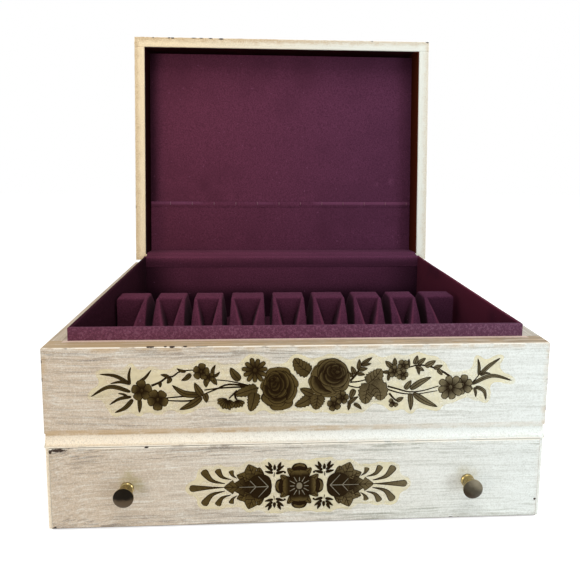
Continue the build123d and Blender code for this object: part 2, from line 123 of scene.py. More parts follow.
class MetalSettings(bpy.types.PropertyGroup):
    brass: colour("Brass", "Rubbed brass of necks and hinges", (0.36, 0.28, 0.12))
    patina: colour("Patina", "Dark bronze skin on the knobs' faces", (0.032, 0.022, 0.013))
    # Grey skin on the knobs' faces; a lighter copy of it paints the glint on the right knob
    skin_and_glint: colour("Skin and glint", "Grey skin where the knobs are handled least", (0.062, 0.054, 0.038))
    steel: colour("Steel", "Screws behind the drawer front", (0.45, 0.45, 0.46))


class OrnamentSettings(bpy.types.PropertyGroup):
    bronze: colour("Bronze", "Fill of leaves and petals", (0.084, 0.057, 0.018))
    bronze_lit: colour("Lit bronze", "Fill towards the right end", (0.190, 0.162, 0.095))
    line: colour("Line", "Dark line work", (0.010, 0.004, 0.001))
    pale: colour("Pale print", "Rays, veins and highlights", (0.26, 0.23, 0.17))
    film: colour("Film", "Yellowed film round the print", (0.88, 0.79, 0.49))
    margin: length("Margin", "Film left round the ornament", 0.0030)


class StageSettings(bpy.types.PropertyGroup):
    eye: FloatVectorProperty(
        name="Camera place", description="Camera position", subtype="TRANSLATION", size=3,
        unit="LENGTH", default=(-0.03462, -0.53433, 0.30500),
    )
    tilt: number("Tilt", "Camera looking down", -0.10996, subtype="ANGLE")
    turn: number("Turn", "Camera turned about the vertical", -0.04978, subtype="ANGLE")
    roll: number("Roll", "Camera rolled about its view", 0.00762, subtype="ANGLE")
    lens: number("Lens", "Focal length on a 36 mm frame, in millimetres", 31.123)
    shift_right: number("Shift right", "Share of the picture's width", 0.0120)
    shift_up: number("Shift up", "Share of the picture's width", -0.1430)
    world: number("Ambient", "Strength of the even light", 0.50, min=0.0)
    key: number("Key", "Lamp above the front", 10.0, unit="POWER")
    warm: number("Warm fill", "Lamp at the left", 2.6, unit="POWER")
    cool: number("Cool fill", "Lamp at the right", 5.0, unit="POWER")


# ---------------------------------------------------------------- shader building
class Value:
    """A number in a material; Python arithmetic on it adds Math nodes."""

    def __init__(self, shader, socket):
        self.shader = shader
        self.socket = socket

    def __add__(self, other):
        return self.shader.math("ADD", self, other)

    __radd__ = __add__

    def __sub__(self, other):
        return self.shader.math("SUBTRACT", self, other)

    def __rsub__(self, other):
        return self.shader.math("SUBTRACT", other, self)

    def __mul__(self, other):
        return self.shader.math("MULTIPLY", self, other)

    __rmul__ = __mul__

    def __truediv__(self, other):
        return self.shader.math("DIVIDE", self, other)


class Shader:
    """One material, or the world, built node by node."""

    def __init__(self, name, world=None):
        self.material = world or bpy.data.materials.new(name)
        self.material.use_nodes = True
        self.tree = self.material.node_tree
        self.tree.nodes.clear()
        self.place = self.node("ShaderNodeTexCoord").outputs["Object"]

    def node(self, kind, settings=None, inputs=None):
        """Add a node: its settings first, then a value or a link for each socket."""
        made = self.tree.nodes.new(kind)
        for key, value in (settings or {}).items():
            setattr(made, key, value)
        for key, value in (inputs or {}).items():
            self.feed(made.inputs[key], value)
        return made

    def feed(self, socket, value):
        if isinstance(value, Value):
            value = value.socket
        if isinstance(value, bpy.types.NodeSocket):
            self.tree.links.new(value, socket)
        elif socket.type == "RGBA":
            socket.default_value = (*value, 1.0)
        else:
            socket.default_value = value

    def math(self, operation, *values):
        made = self.node("ShaderNodeMath", {"operation": operation}, dict(enumerate(values)))
        return Value(self, made.outputs[0])

    def least(self, first, *others):
        for other in others:
            first = self.math("MINIMUM", first, other)
        return first

    def most(self, first, *others):
        for other in others:
            first = self.math("MAXIMUM", first, other)
        return first

    def ramp(self, value, start, end):
        """0 before start, 1 after end, smooth between; start may lie above end."""
        inputs = {"Value": value, "From Min": start, "From Max": end}
        made = self.node("ShaderNodeMapRange", {"interpolation_type": "SMOOTHSTEP"}, inputs)
        return Value(self, made.outputs["Result"])

    def split(self, vector):
        made = self.node("ShaderNodeSeparateXYZ", inputs={"Vector": vector})
        return [Value(self, made.outputs[axis]) for axis in "XYZ"]

    def scaled(self, vector, scale):
        made = self.node("ShaderNodeMapping", {"vector_type": "POINT"}, {"Vector": vector, "Scale": scale})
        return made.outputs["Vector"]

    def attribute(self, name):
        return Value(self, self.node("ShaderNodeAttribute", {"attribute_name": name}).outputs["Fac"])

    def turned(self, vector, matrix):
        """The vector in the coordinates of a turned and moved body."""
        place, turn = matrix.to_translation(), matrix.to_euler()
        inputs = {"Vector": vector, "Location": place, "Rotation": tuple(turn)}
        return self.node("ShaderNodeMapping", {"vector_type": "TEXTURE"}, inputs).outputs["Vector"]

    def noise(self, vector, scale, detail=2.0, roughness=0.5, distortion=0.0):
        inputs = {"Vector": vector, "Scale": scale, "Detail": detail, "Roughness": roughness}
        made = self.node("ShaderNodeTexNoise", inputs={**inputs, "Distortion": distortion})
        return Value(self, made.outputs["Fac"])

    def mix(self, factor, first, second):
        made = self.node("ShaderNodeMix", {"data_type": "RGBA"}, {0: factor, 6: first, 7: second})
        return made.outputs[2]

    def choose(self, lighting, seen, output):
        """Close with a shader that lights the object and one that is seen, also in metal and glass."""
        rays = self.node("ShaderNodeLightPath")
        kinds = ("Is Camera Ray", "Is Glossy Ray", "Is Transmission Ray")
        looking = self.most(*(Value(self, rays.outputs[kind]) for kind in kinds))
        inputs = {0: looking, 1: lighting.outputs[0], 2: seen.outputs[0]}
        both = self.node("ShaderNodeMixShader", inputs=inputs)
        self.node(output, inputs={"Surface": both.outputs[0]})

    def surface(self, tone, roughness, specular=0.5, bump=None, more=None):
        """Close the material. bump is a height, its strength and its distance; more names further sockets."""
        inputs = {"Base Color": tone, "Roughness": roughness, "Specular IOR Level": specular, **(more or {})}
        if bump:
            relief = self.node("ShaderNodeBump", inputs=dict(zip(("Height", "Strength", "Distance"), bump)))
            inputs["Normal"] = relief.outputs["Normal"]
        body = self.node("ShaderNodeBsdfPrincipled", inputs=inputs)
        self.node("ShaderNodeOutputMaterial", inputs={"Surface": body.outputs["BSDF"]})
        return self.material


def tinted(tone, share, lift=0.0):
    """A colour made darker or lighter by a share of itself."""
    return tuple(min(1.0, part * share + lift) for part in tone)


def dress(obj, material):
    obj.data.materials.clear()
    obj.data.materials.append(material)
    return obj


# ---------------------------------------------------------------- materials
FRESH_CREAM = (1.0, 0.89, 0.71)
RUBBED_HIGHLIT_CREAM = (0.92, 0.88, 0.78)
LIP_CREAM = (0.74, 0.55, 0.45)
MOUTH_WARM = (0.92, 0.75, 0.48)
MOUTH_COOL = (0.74, 0.75, 0.67)
CLOTH_STAIN = (0.46, 0.22, 0.20)
LINT_AND_SHEEN = (0.33, 0.23, 0.30)
SHEEN = (0.80, 0.45, 0.58)
LIT_EDGE_CLOTH = (0.075, 0.014, 0.005)
BRASS_SPECK = (0.018, 0.012, 0.006)
STEEL_CLOUD = (0.20, 0.17, 0.14)


def painted(
    name, settings, low, high, grain, lid=False, corner_glaze=0.5, chips=0.5, clean=0.0, mouth_glaze=0.0,
    rim=None, bands=(), flaws=(), smudges=(), curl=None, fresh_front=False, foot_line=False,
):
    """Brushed off-white paint with glaze in the grain and wear on the edges of the box from low to high.

    grain is the axis that the brush marks follow, and clean is how little glaze they hold.
    mouth_glaze is how much ochre lies on the outer half of a lid rail's edge.
    rim is the height of a ledge and how strongly it is glazed.
    A band is an axis, the places where its glaze starts and is full, and its strength.
    Flaws are chips in millimetres: across, up, half width, half height.
    Smudges are also in millimetres: across, up, radius, and their strength.
    curl is where the grain starts to sweep up towards the left end.
    fresh_front gives the front edge cleaner paint, and foot_line darkens the lower arris."""
    shader = Shader(name)
    ramp, mix = shader.ramp, shader.mix
    place = shader.turned(shader.place, LID) if lid else shader.place
    x, y, z = shader.split(place)
    sides = [shader.least(axis - a, b - axis) for axis, a, b in zip((x, y, z), low, high)]
    edge = shader.most(
        shader.least(sides[0], sides[1]), shader.least(shader.most(sides[0], sides[1]), sides[2])
    )
    along = "XYZ".index(grain)
    wander = 0.011 * shader.noise(place, 6.0, 2.0) + 0.0018 * shader.noise(place, 45.0, 2.0)
    if curl is not None:
        sweep = shader.most(curl - x, 0.0)
        wander = wander + sweep * sweep * 1.1
    drift = shader.node("ShaderNodeCombineXYZ", inputs={i: wander for i in range(3) if i != along})
    brushed = shader.node("ShaderNodeVectorMath", {"operation": "ADD"}, {0: place, 1: drift.outputs[0]})

    def marks(length_scale, width_scale, roughness=0.6):
        scale = tuple(length_scale if i == along else width_scale for i in range(3))
        return shader.noise(shader.scaled(brushed.outputs[0], scale), 1.0, 2.0, roughness)

    coarse, middle, fine = marks(5.0, 190.0), marks(11.0, 430.0), marks(26.0, 820.0, 0.75)
    patch = shader.noise(place, 9.0, 3.0, 0.55)
    mottle = shader.noise(place, 90.0, 4.0, 0.6)
    grit = shader.noise(place, 1000.0, 2.0, 0.7)
    fleck = shader.noise(place, 620.0, 2.0, 0.65)

    # Warm at the left, brighter and cool at the right: partly yellowed paint, partly painted lamp light
    base = mix(ramp(x, -0.20, 0.24), settings.warm, settings.cool)
    streaks = (
        ramp(coarse, 0.52, 0.70) * 0.26
        + ramp(middle, 0.54, 0.66) * 0.50
        + ramp(fine, 0.50, 0.68) * 0.52
    )
    near_long_edge = ramp(sides[1 if lid else 2], 0.014, 0.004)
    streaks = streaks * (0.45 + ramp(patch, 0.38, 0.62) * 0.50 + near_long_edge * 1.05)
    streaks = streaks * (1.0 - 0.70 * clean) * (0.92 - 0.50 * ramp(x, -0.02, 0.19))
    marked = mix(ramp(x, -0.10, 0.12), settings.streak, tinted(settings.shade, 1.25))
    bright = tinted(settings.cool, 1.16)
    tone = mix(streaks, base, marked)
    lights = ramp(middle, 0.47, 0.32) * 0.20 + ramp(fine, 0.46, 0.30) * 0.34
    tone = mix(lights, tone, bright)
    # Cleaner paint with the same painted warm and cool lamp light across it
    fresh = mix(ramp(x, -0.20, 0.10), FRESH_CREAM, bright)
    if fresh_front:
        clean = clean + ramp(y, low[1] + 0.0026, low[1] + 0.0021) * (1.5 - clean)
    if fresh_front or clean:
        tone = mix(shader.least(clean * 0.56, 1.0), tone, fresh)
    spots = ramp(grit, 0.50, 0.64) * 0.21 + ramp(fleck, 0.52, 0.66) * 0.16
    tone = mix(spots, tone, marked)
    tone = mix(ramp(grit, 0.47, 0.34) * 0.25, tone, bright)
    if lid:
        mouth = ramp(z, 0.0008, 0.0003)
        # The rail's mouth, warm at the left and cool at the right with the painted lamp light
        cream = mix(ramp(x, -0.20, 0.12), MOUTH_WARM, MOUTH_COOL)
        tone = mix(mouth * (0.45 + 0.50 * ramp(grit, 0.60, 0.42)), tone, cream)

    glaze = ramp(edge, 0.0060, 0.0004) * (0.20 + ramp(mottle, 0.40, 0.62)) * corner_glaze
    for axis, start_at, full_at, strength in bands:
        band = ramp((x, y, z)["XYZ".index(axis)], start_at, full_at)
        band = band * (1.0 - 0.70 * ramp(x, -0.05, 0.15))
        glaze = shader.most(glaze, band * (0.55 + 0.45 * ramp(mottle, 0.42, 0.58)) * strength)
    inward = shader.least(sides[0], sides[1])
    if mouth_glaze:
        outer = mouth * ramp(inward + (mottle - 0.5) * 0.014, 0.0090, 0.0015)
        outer = outer * (0.40 + 0.60 * ramp(fleck, 0.42, 0.60))
        outer = outer * (0.60 + 0.40 * ramp(x, 0.19, -0.05))
        glaze = shader.most(glaze, outer * mouth_glaze)
    if rim:
        height, strength = rim
        ledge = ramp(z, height - 0.0005, height - 0.0001)
        beside_lip = ramp(inward + (fleck - 0.5) * 0.003, 0.0114, 0.0128)
        uneven_glaze = 0.62 + 0.22 * ramp(mottle, 0.42, 0.6) + 0.30 * ramp(middle, 0.44, 0.58)
        glaze = shader.most(glaze, ledge * uneven_glaze * strength * (1.0 - 0.80 * beside_lip))
    tone = mix(glaze, tone, settings.ochre)
    if rim:
        tone = mix(ledge * beside_lip * 0.80 * strength, tone, LIP_CREAM)
        stain = ledge * ramp(inward, 0.0148, 0.0156) * ramp(x, 0.10, -0.15) * 0.35
        tone = mix(stain, tone, CLOTH_STAIN)
        handled = ledge * (1.0 - beside_lip) * ramp(middle, 0.44, 0.52)
        handled = handled * (0.30 + 0.70 * ramp(x, -0.16, 0.10))
        tone = mix(handled * 0.62 * strength, tone, settings.grime)
    for across, up, radius, strength in smudges:
        aside, above = x - across * MM, z - up * MM
        away = shader.math("SQRT", aside * aside + above * above)
        dirt = ramp(away + (fleck - 0.5) * 0.012, radius * MM, radius * 0.35 * MM) * strength
        tone = mix(dirt * (0.45 + 0.55 * ramp(fleck, 0.42, 0.60)), tone, settings.olive)

    # Pale cream along every edge: worn paint, and a painted highlight on the arrises
    rubbed_and_highlit = ramp(edge, 0.0011, 0.0003) * ramp(mottle, 0.34, 0.50) * 0.85
    if foot_line:
        # Darker along the lower arris
        foot = ramp(z, low[2] + 0.0013, low[2] + 0.0007)
        rubbed_and_highlit = rubbed_and_highlit * (1.0 - foot)
        tone = mix(foot * 0.85, tone, tinted(settings.grime, 0.35))
    tone = mix(rubbed_and_highlit, tone, RUBBED_HIGHLIT_CREAM)
    upright = shader.most(sides[0], sides[1])
    worn = ramp(upright, 0.0013, 0.0004) * (0.30 + 0.70 * ramp(mottle, 0.40, 0.60))
    tone = mix(worn * 0.75, tone, settings.grime)
    scale = tuple(70.0 if i == along else 160.0 for i in range(3))
    chipping = shader.noise(shader.scaled(place, scale), 1.0, 2.0, 0.6)
    chipped = ramp(edge, 0.0017, 0.0011) * ramp(chipping, 0.640, 0.660)
    chipped = chipped * ramp(patch, 0.50, 0.56) * chips
    for across, up, half_wide, half_tall in flaws:
        aside = (x - across * MM) / (half_wide * MM)
        above = ((y if lid else z) - up * MM) / (half_tall * MM)
        outline = aside * aside + above * above + (grit - 0.5) * 2.6
        face = ramp(sides[2] if lid else sides[1], 0.0024, 0.0016)
        chipped = shader.most(chipped, ramp(outline, 1.15, 0.75) * face)
    tone = mix(chipped, tone, settings.chip)

    height = coarse * 0.4 + middle * 0.3 + fine * 0.3 + grit * 0.1 - chipped * 1.5
    return shader.surface(tone, 0.52 + fine * 0.14, 0.24, (height, 0.45, 0.0003))


def flannel(
    name, settings, tone=1.0, nap=0.75, blotch=1.0, follow_uv=None, hem=None, smudges=(), painted_shading=False,
    dust_and_sheen=0.0, shaded_bands=(), glow=0.0,
):
    """Short-napped cloth, redder to the left in painted warm light and more violet to the right in painted
    cool light.

    follow_uv is the real size of the UV map of a curved piece.
    With painted shading asked for, a number on each point paints shade where it is above 0 and a highlight
    where it is below 0.
    hem is where the raised hem ends along the lid.
    Smudges are places on the lid in millimetres: across, along from the hinge, radius, and how much lighter.
    dust is how much pale lint and painted sheen the nap shows, and glow how much painted light reddens it.
    A shaded band is an axis, the places where the painted shade starts and is darkest, and its strength."""
    shader = Shader(name)
    ramp, mix = shader.ramp, shader.mix
    place = shader.place
    x, y, z = shader.split(place)
    if follow_uv:
        uv = shader.node("ShaderNodeTexCoord").outputs["UV"]
        place = shader.scaled(uv, (*follow_uv, 1.0))
    fibre = shader.noise(place, 1700.0, 2.0, 0.7)
    tuft = shader.noise(place, 560.0, 3.0, 0.7)
    weave = shader.noise(shader.scaled(place, (1500.0, 1500.0, 260.0)), 1.0, 1.0)
    lay = shader.noise(place, 14.0, 3.0, 0.55)
    # Painted light: redder at the left in warm light, more violet at the right in cool light
    side = ramp(x, -0.19, 0.20)
    light, dark = (
        mix(side, tinted(settings.plum, tone * depth), tinted(settings.violet, tone * depth))
        for depth in (1.22, 0.62)
    )
    pile = ramp(tuft, 0.32, 0.68) * 0.5 + ramp(fibre, 0.32, 0.68) * 0.5
    body = mix(0.5 + (pile - 0.5) * nap * 1.8, dark, light)
    body = mix(ramp(lay, 0.44, 0.66) * 0.34 * blotch, body, dark)
    if painted_shading:
        # Painted shade where the number is above 0, a painted highlight where it is below 0
        shading_share = shader.attribute("painted_shading")
        body = mix(ramp(shading_share, 0.0, 1.0), body, tinted(settings.plum, tone * 0.10))
        body = mix(ramp(shading_share, 0.0, -1.0) * 0.6, body, tinted(settings.plum, tone * 1.9))
    # Painted shade, from where each band starts to where it is darkest
    for axis, start_at, full_at, strength in shaded_bands:
        depth = ramp((x, y, z)["XYZ".index(axis)] + (lay - 0.5) * 0.012, start_at, full_at) * strength
        body = mix(depth, body, tinted(settings.violet, tone * 0.10))
    # Painted light: the cloth turns towards the lit plum, as on a wall that faces the lamps
    if glow:
        body = mix((1.0 - 0.5 * ramp(lay, 0.42, 0.60)) * glow, body, settings.lit_plum)
    # Pale lint in the nap, together with a painted sheen that grows towards the right
    if dust_and_sheen:
        fluff_and_sheen = (0.30 + 0.70 * ramp(tuft, 0.50, 0.64)) * (0.6 + 0.4 * ramp(x, 0.0, 0.17))
        body = mix(fluff_and_sheen * dust_and_sheen, body, LINT_AND_SHEEN)
    if hem or smudges:
        across, along, _ = shader.split(shader.turned(shader.place, LID))
    if hem:
        raised = ramp(along + (tuft - 0.5) * 0.004, hem - 0.0028, hem - 0.0052)
        raised = raised * (0.15 + 0.85 * ramp(lay, 0.44, 0.60))
        body = mix(raised * 0.40, body, tinted(settings.violet, 2.0, 0.01))
    for right, up, radius, lighter in smudges:
        aside, away = across - right * MM, along + up * MM
        far = shader.math("SQRT", aside * aside + away * away * 0.5)
        mark = ramp(far + (lay - 0.5) * 0.03, radius * MM, radius * 0.2 * MM) * abs(lighter)
        pale, dim = tinted(settings.violet, 2.6, 0.02), tinted(settings.plum, 0.35)
        mark = mark * (0.4 + 0.6 * ramp(tuft, 0.35, 0.60))
        body = mix(mark, body, pale if lighter > 0 else dim)
    lint = ramp(shader.noise(place, 260.0, 1.0), 0.745, 0.775)
    body = mix(lint * 0.30, body, tinted(settings.violet, 2.2, 0.02))
    height = tuft * 0.50 + fibre * 0.35 + weave * 0.15
    sheen = {"Sheen Weight": 0.05 * min(1.0, tone) ** 2, "Sheen Roughness": 0.5, "Sheen Tint": SHEEN}
    return shader.surface(body, 0.95, 0.03, (height, 0.55, 0.0005), sheen)


def wall_flannel(name, settings):
    """Cloth of the lid's inner faces, near black with painted shade; redder at the right, in painted light.
    """
    shader = Shader(name)
    ramp, mix = shader.ramp, shader.mix
    x = shader.split(shader.place)[0]
    nap = shader.noise(shader.place, 900.0, 3.0, 0.7)
    lay = shader.noise(shader.place, 25.0, 3.0)
    tone = mix(ramp(nap, 0.35, 0.68), tinted(settings.wall, 0.55), settings.wall)
    tone = mix(ramp(lay, 0.5, 0.7) * 0.4, tone, tinted(settings.wall, 1.6))
    tone = mix(ramp(x, 0.181, 0.186) * 0.9, tone, LIT_EDGE_CLOTH)
    return shader.surface(tone, 1.0, 0.0, (nap, 0.5, 0.0004))


def rubbed_brass(name, settings, knob=None):
    """Aged brass. A knob is where the dark skin of its face starts, how far out it is and how high."""
    shader = Shader(name)
    ramp, mix = shader.ramp, shader.mix
    x, y, z = shader.split(shader.place)
    cloud = shader.noise(shader.place, 260.0, 4.0, 0.6)
    speck = shader.noise(shader.place, 1400.0, 2.0, 0.6)
    skin = ramp(cloud, 0.50, 0.72) * 0.55
    rough = 0.17 + cloud * 0.12
    dull = settings.patina
    if knob:
        face_y, middle_x, middle_z = knob
        front = ramp(y, face_y + 0.0004, face_y - 0.0003)
        skin = shader.most(skin, front)
        rough = rough + front * 0.20
        # Painted reflection and highlight: the left knob's face is near black above its middle and lighter
        # below, the right one runs from dark at lower left to a lit grey glint at upper right
        upper = ramp(z + (cloud - 0.5) * 0.003, middle_z - 0.0024, middle_z + 0.0012)
        left = mix(upper * 0.95, tinted(dull, 2.7), tinted(dull, 0.15))
        lit = (x - middle_x) * 0.6 + (z - middle_z) + (cloud - 0.5) * 0.006
        right = mix(ramp(lit, -0.0065, -0.0005), tinted(dull, 1.2), settings.skin_and_glint)
        right = mix(ramp(lit, 0.0, 0.0065), right, tinted(settings.skin_and_glint, 2.8))
        dull = mix(ramp(x, -0.01, 0.01), left, right)
    tone = mix(skin, settings.brass, dull)
    tone = mix(ramp(speck, 0.62, 0.72) * 0.45, tone, BRASS_SPECK)
    relief = cloud * 0.5 + speck * 0.5
    return shader.surface(tone, rough, 0.05, (relief, 0.2, 0.0002), {"Metallic": 0.95 - skin * 0.75})


def plain_steel(name, settings):
    """Dull, slightly clouded steel of the screws."""
    shader = Shader(name)
    cloud = shader.noise(shader.place, 500.0, 3.0)
    tone = shader.mix(shader.ramp(cloud, 0.5, 0.8) * 0.5, settings.steel, STEEL_CLOUD)
    return shader.surface(tone, 0.32 + cloud * 0.2, bump=(cloud, 0.1, 0.0002), more={"Metallic": 1.0})


def bare_board(name, settings, grain):
    """Unpainted wood; grain is the axis that its rings follow."""
    shader = Shader(name)
    ramp, mix = shader.ramp, shader.mix

    def stretch(along, across):
        return tuple(along if axis == grain else across for axis in "XYZ")

    rings = shader.noise(shader.scaled(shader.place, stretch(3.0, 55.0)), 1.0, 4.0, 0.6, 0.6)
    pores = shader.noise(shader.scaled(shader.place, stretch(60.0, 1400.0)), 1.0, 2.0, 0.6)
    wash = shader.noise(shader.place, 11.0, 3.0)
    tone = mix(ramp(rings, 0.40, 0.62), settings.bare, tinted(settings.bare, 0.62))
    tone = mix(ramp(pores, 0.56, 0.74) * 0.55, tone, tinted(settings.bare, 0.35))
    tone = mix(ramp(wash, 0.4, 0.7) * 0.25, tone, tinted(settings.bare, 1.5))
    return shader.surface(tone, 0.62 + pores * 0.15, 0.3, (rings * 0.3 + pores * 0.7, 0.3, 0.0003))


# ---------------------------------------------------------------- modelling
def start():
    """Leave nothing selected and nothing in edit mode."""
    if bpy.context.mode != "OBJECT":
        bpy.ops.object.mode_set(mode="OBJECT")
    bpy.ops.object.select_all(action="DESELECT")


def take(name):
    """The primitive just added, named, with its place in its mesh."""
    obj = bpy.context.active_object
    bpy.ops.object.transform_apply(location=True, rotation=True, scale=True)
    obj.name = name
    obj.data.name = name
    return obj


def cuboid(name, low, high):
    start()
    low, high = Vector(low), Vector(high)
    bpy.ops.mesh.primitive_cube_add(size=1.0, location=(low + high) / 2, scale=high - low)
    return take(name)


def sheet_grid(name, columns, rows):
    """A unit grid with that many cells each way, for code to lay out, and its points in order."""
    bpy.ops.mesh.primitive_grid_add(x_subdivisions=columns, y_subdivisions=rows, size=1.0)
    obj = bpy.context.active_object
    obj.name = name
    points = obj.data.vertices
    order = sorted(range(len(points)), key=lambda i: (round(points[i].co.y, 5), points[i].co.x))
    return obj, order


def laid_sheet(name, columns, rows, shape):
    """A grid with each point at shape(across, up), both from 0 to 1, and its points in order."""
    obj, order = sheet_grid(name, columns, rows)
    for count, index in enumerate(order):
        row, column = divmod(count, columns + 1)
        obj.data.vertices[index].co = shape(column / columns, row / rows)
    obj.data.update()
    return obj, order


def follow(points, share):
    """Place on a smooth line through a few points, share from 0 to 1."""
    last = len(points) - 1
    index = min(int(share * last), last - 1)
    along = share * last - index
    before, first, second, after = (points[min(max(index + step, 0), last)] for step in (-1, 0, 1, 2))
    return 0.5 * (
        2 * first + (second - before) * along
        + (2 * before - 5 * first + 4 * second - after) * along ** 2
        + (3 * first - before - 3 * second + after) * along ** 3
    )


def mark(obj, name, values):
    """Store a number for each point of the mesh, for a material to read."""
    obj.data.attributes.new(name, "FLOAT", "POINT").data.foreach_set("value", values)


def hold(obj):
    """Select one object and make it the active one."""
    start()
    bpy.context.view_layer.objects.active = obj
    obj.select_set(True)


def modify(obj, kind, **settings):
    """Add one modifier and apply it."""
    hold(obj)
    modifier = obj.modifiers.new(kind.title(), kind)
    for key, value in settings.items():
        setattr(modifier, key, value)
    bpy.ops.object.modifier_apply(modifier=modifier.name)


def round_edges(obj, width, segments=2):
    modify(obj, "BEVEL", width=width, segments=segments, limit_method="ANGLE", angle_limit=math.radians(60))


def edit(obj, *steps):
    """Run edit-mode steps on all of the mesh."""
    hold(obj)
    bpy.ops.object.mode_set(mode="EDIT")
    bpy.ops.mesh.select_all(action="SELECT")
    for step in steps:
        step()
    bpy.ops.object.mode_set(mode="OBJECT")


def cut_away(obj, chosen):
    """Delete the chosen points and their faces."""
    edit(
        obj,
        lambda: bpy.ops.mesh.select_mode(type="VERT"),
        lambda: bpy.ops.mesh.select_all(action="DESELECT"),
    )
    obj.data.vertices.foreach_set("select", chosen)
    bpy.ops.object.mode_set(mode="EDIT")
    bpy.ops.mesh.delete(type="VERT")
    bpy.ops.object.mode_set(mode="OBJECT")


def smooth(obj, angle=40.0):
    hold(obj)
    bpy.ops.object.shade_smooth_by_angle(angle=math.radians(angle))
    return obj


def join(pieces, name):
    """Join the pieces into the first one."""
    start()
    for piece in pieces:
        piece.select_set(True)
    bpy.context.view_layer.objects.active = pieces[0]
    if len(pieces) > 1:
        bpy.ops.object.join()
    pieces[0].name = name
    pieces[0].data.name = name
    return pieces[0]


def uneven(obj, amount, size, seed):
    """Make a stretched cloth face slightly uneven."""
    offset = Vector((seed * 3.1, seed * 1.7, seed * 2.3))
    normals = [vertex.normal.copy() for vertex in obj.data.vertices]
    for vertex, normal in zip(obj.data.vertices, normals):
        vertex.co += normal * amount * noise.noise(vertex.co / size + offset)
    obj.data.update()


def finish_piece(obj, body, material, nodes=(), lid=False):
    """Dress a piece, place it, hang it on the body it rides on, and hide the parts it stands for."""
    if lid:
        obj.data.transform(LID)
        obj.data.update()
    dress(obj, material)
    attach(obj, body)
    if nodes:
        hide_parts(*nodes)
    return obj


def cloth_board(name, low, high, cuts=10, rounding=0.0011, amount=0.00025, seed=0):
    """A board wrapped in cloth: rounded edges and a slightly uneven face."""
    obj = cuboid(name, low, high)
    edit(obj, lambda: bpy.ops.mesh.subdivide(number_cuts=cuts))
    round_edges(obj, rounding, segments=3)
    uneven(obj, amount, 0.030, seed)
    return smooth(obj)


def cloth_ring(name, low, high, wall):
    """A thin cloth lining round the four walls of a space."""
    ring = cuboid(name, low, high)

    def open_up():
        bpy.ops.mesh.select_mode(type="FACE")
        bpy.ops.object.mode_set(mode="OBJECT")
        for face in ring.data.polygons:
            face.select = abs(face.normal.z) > 0.9
        bpy.ops.object.mode_set(mode="EDIT")
        bpy.ops.mesh.inset(thickness=wall, use_individual=True)
        bpy.ops.mesh.bridge_edge_loops()

    edit(ring, open_up)
    return ring


def shut_box(node):
    """Corners of a lid node in the lid's own shut coordinates."""
    inverse = LID.inverted()
    points = [inverse @ vertex.co for vertex in NODES[node].data.vertices]
    return (
        Vector(min(point[i] for point in points) for i in range(3)),
        Vector(max(point[i] for point in points) for i in range(3)),
    )


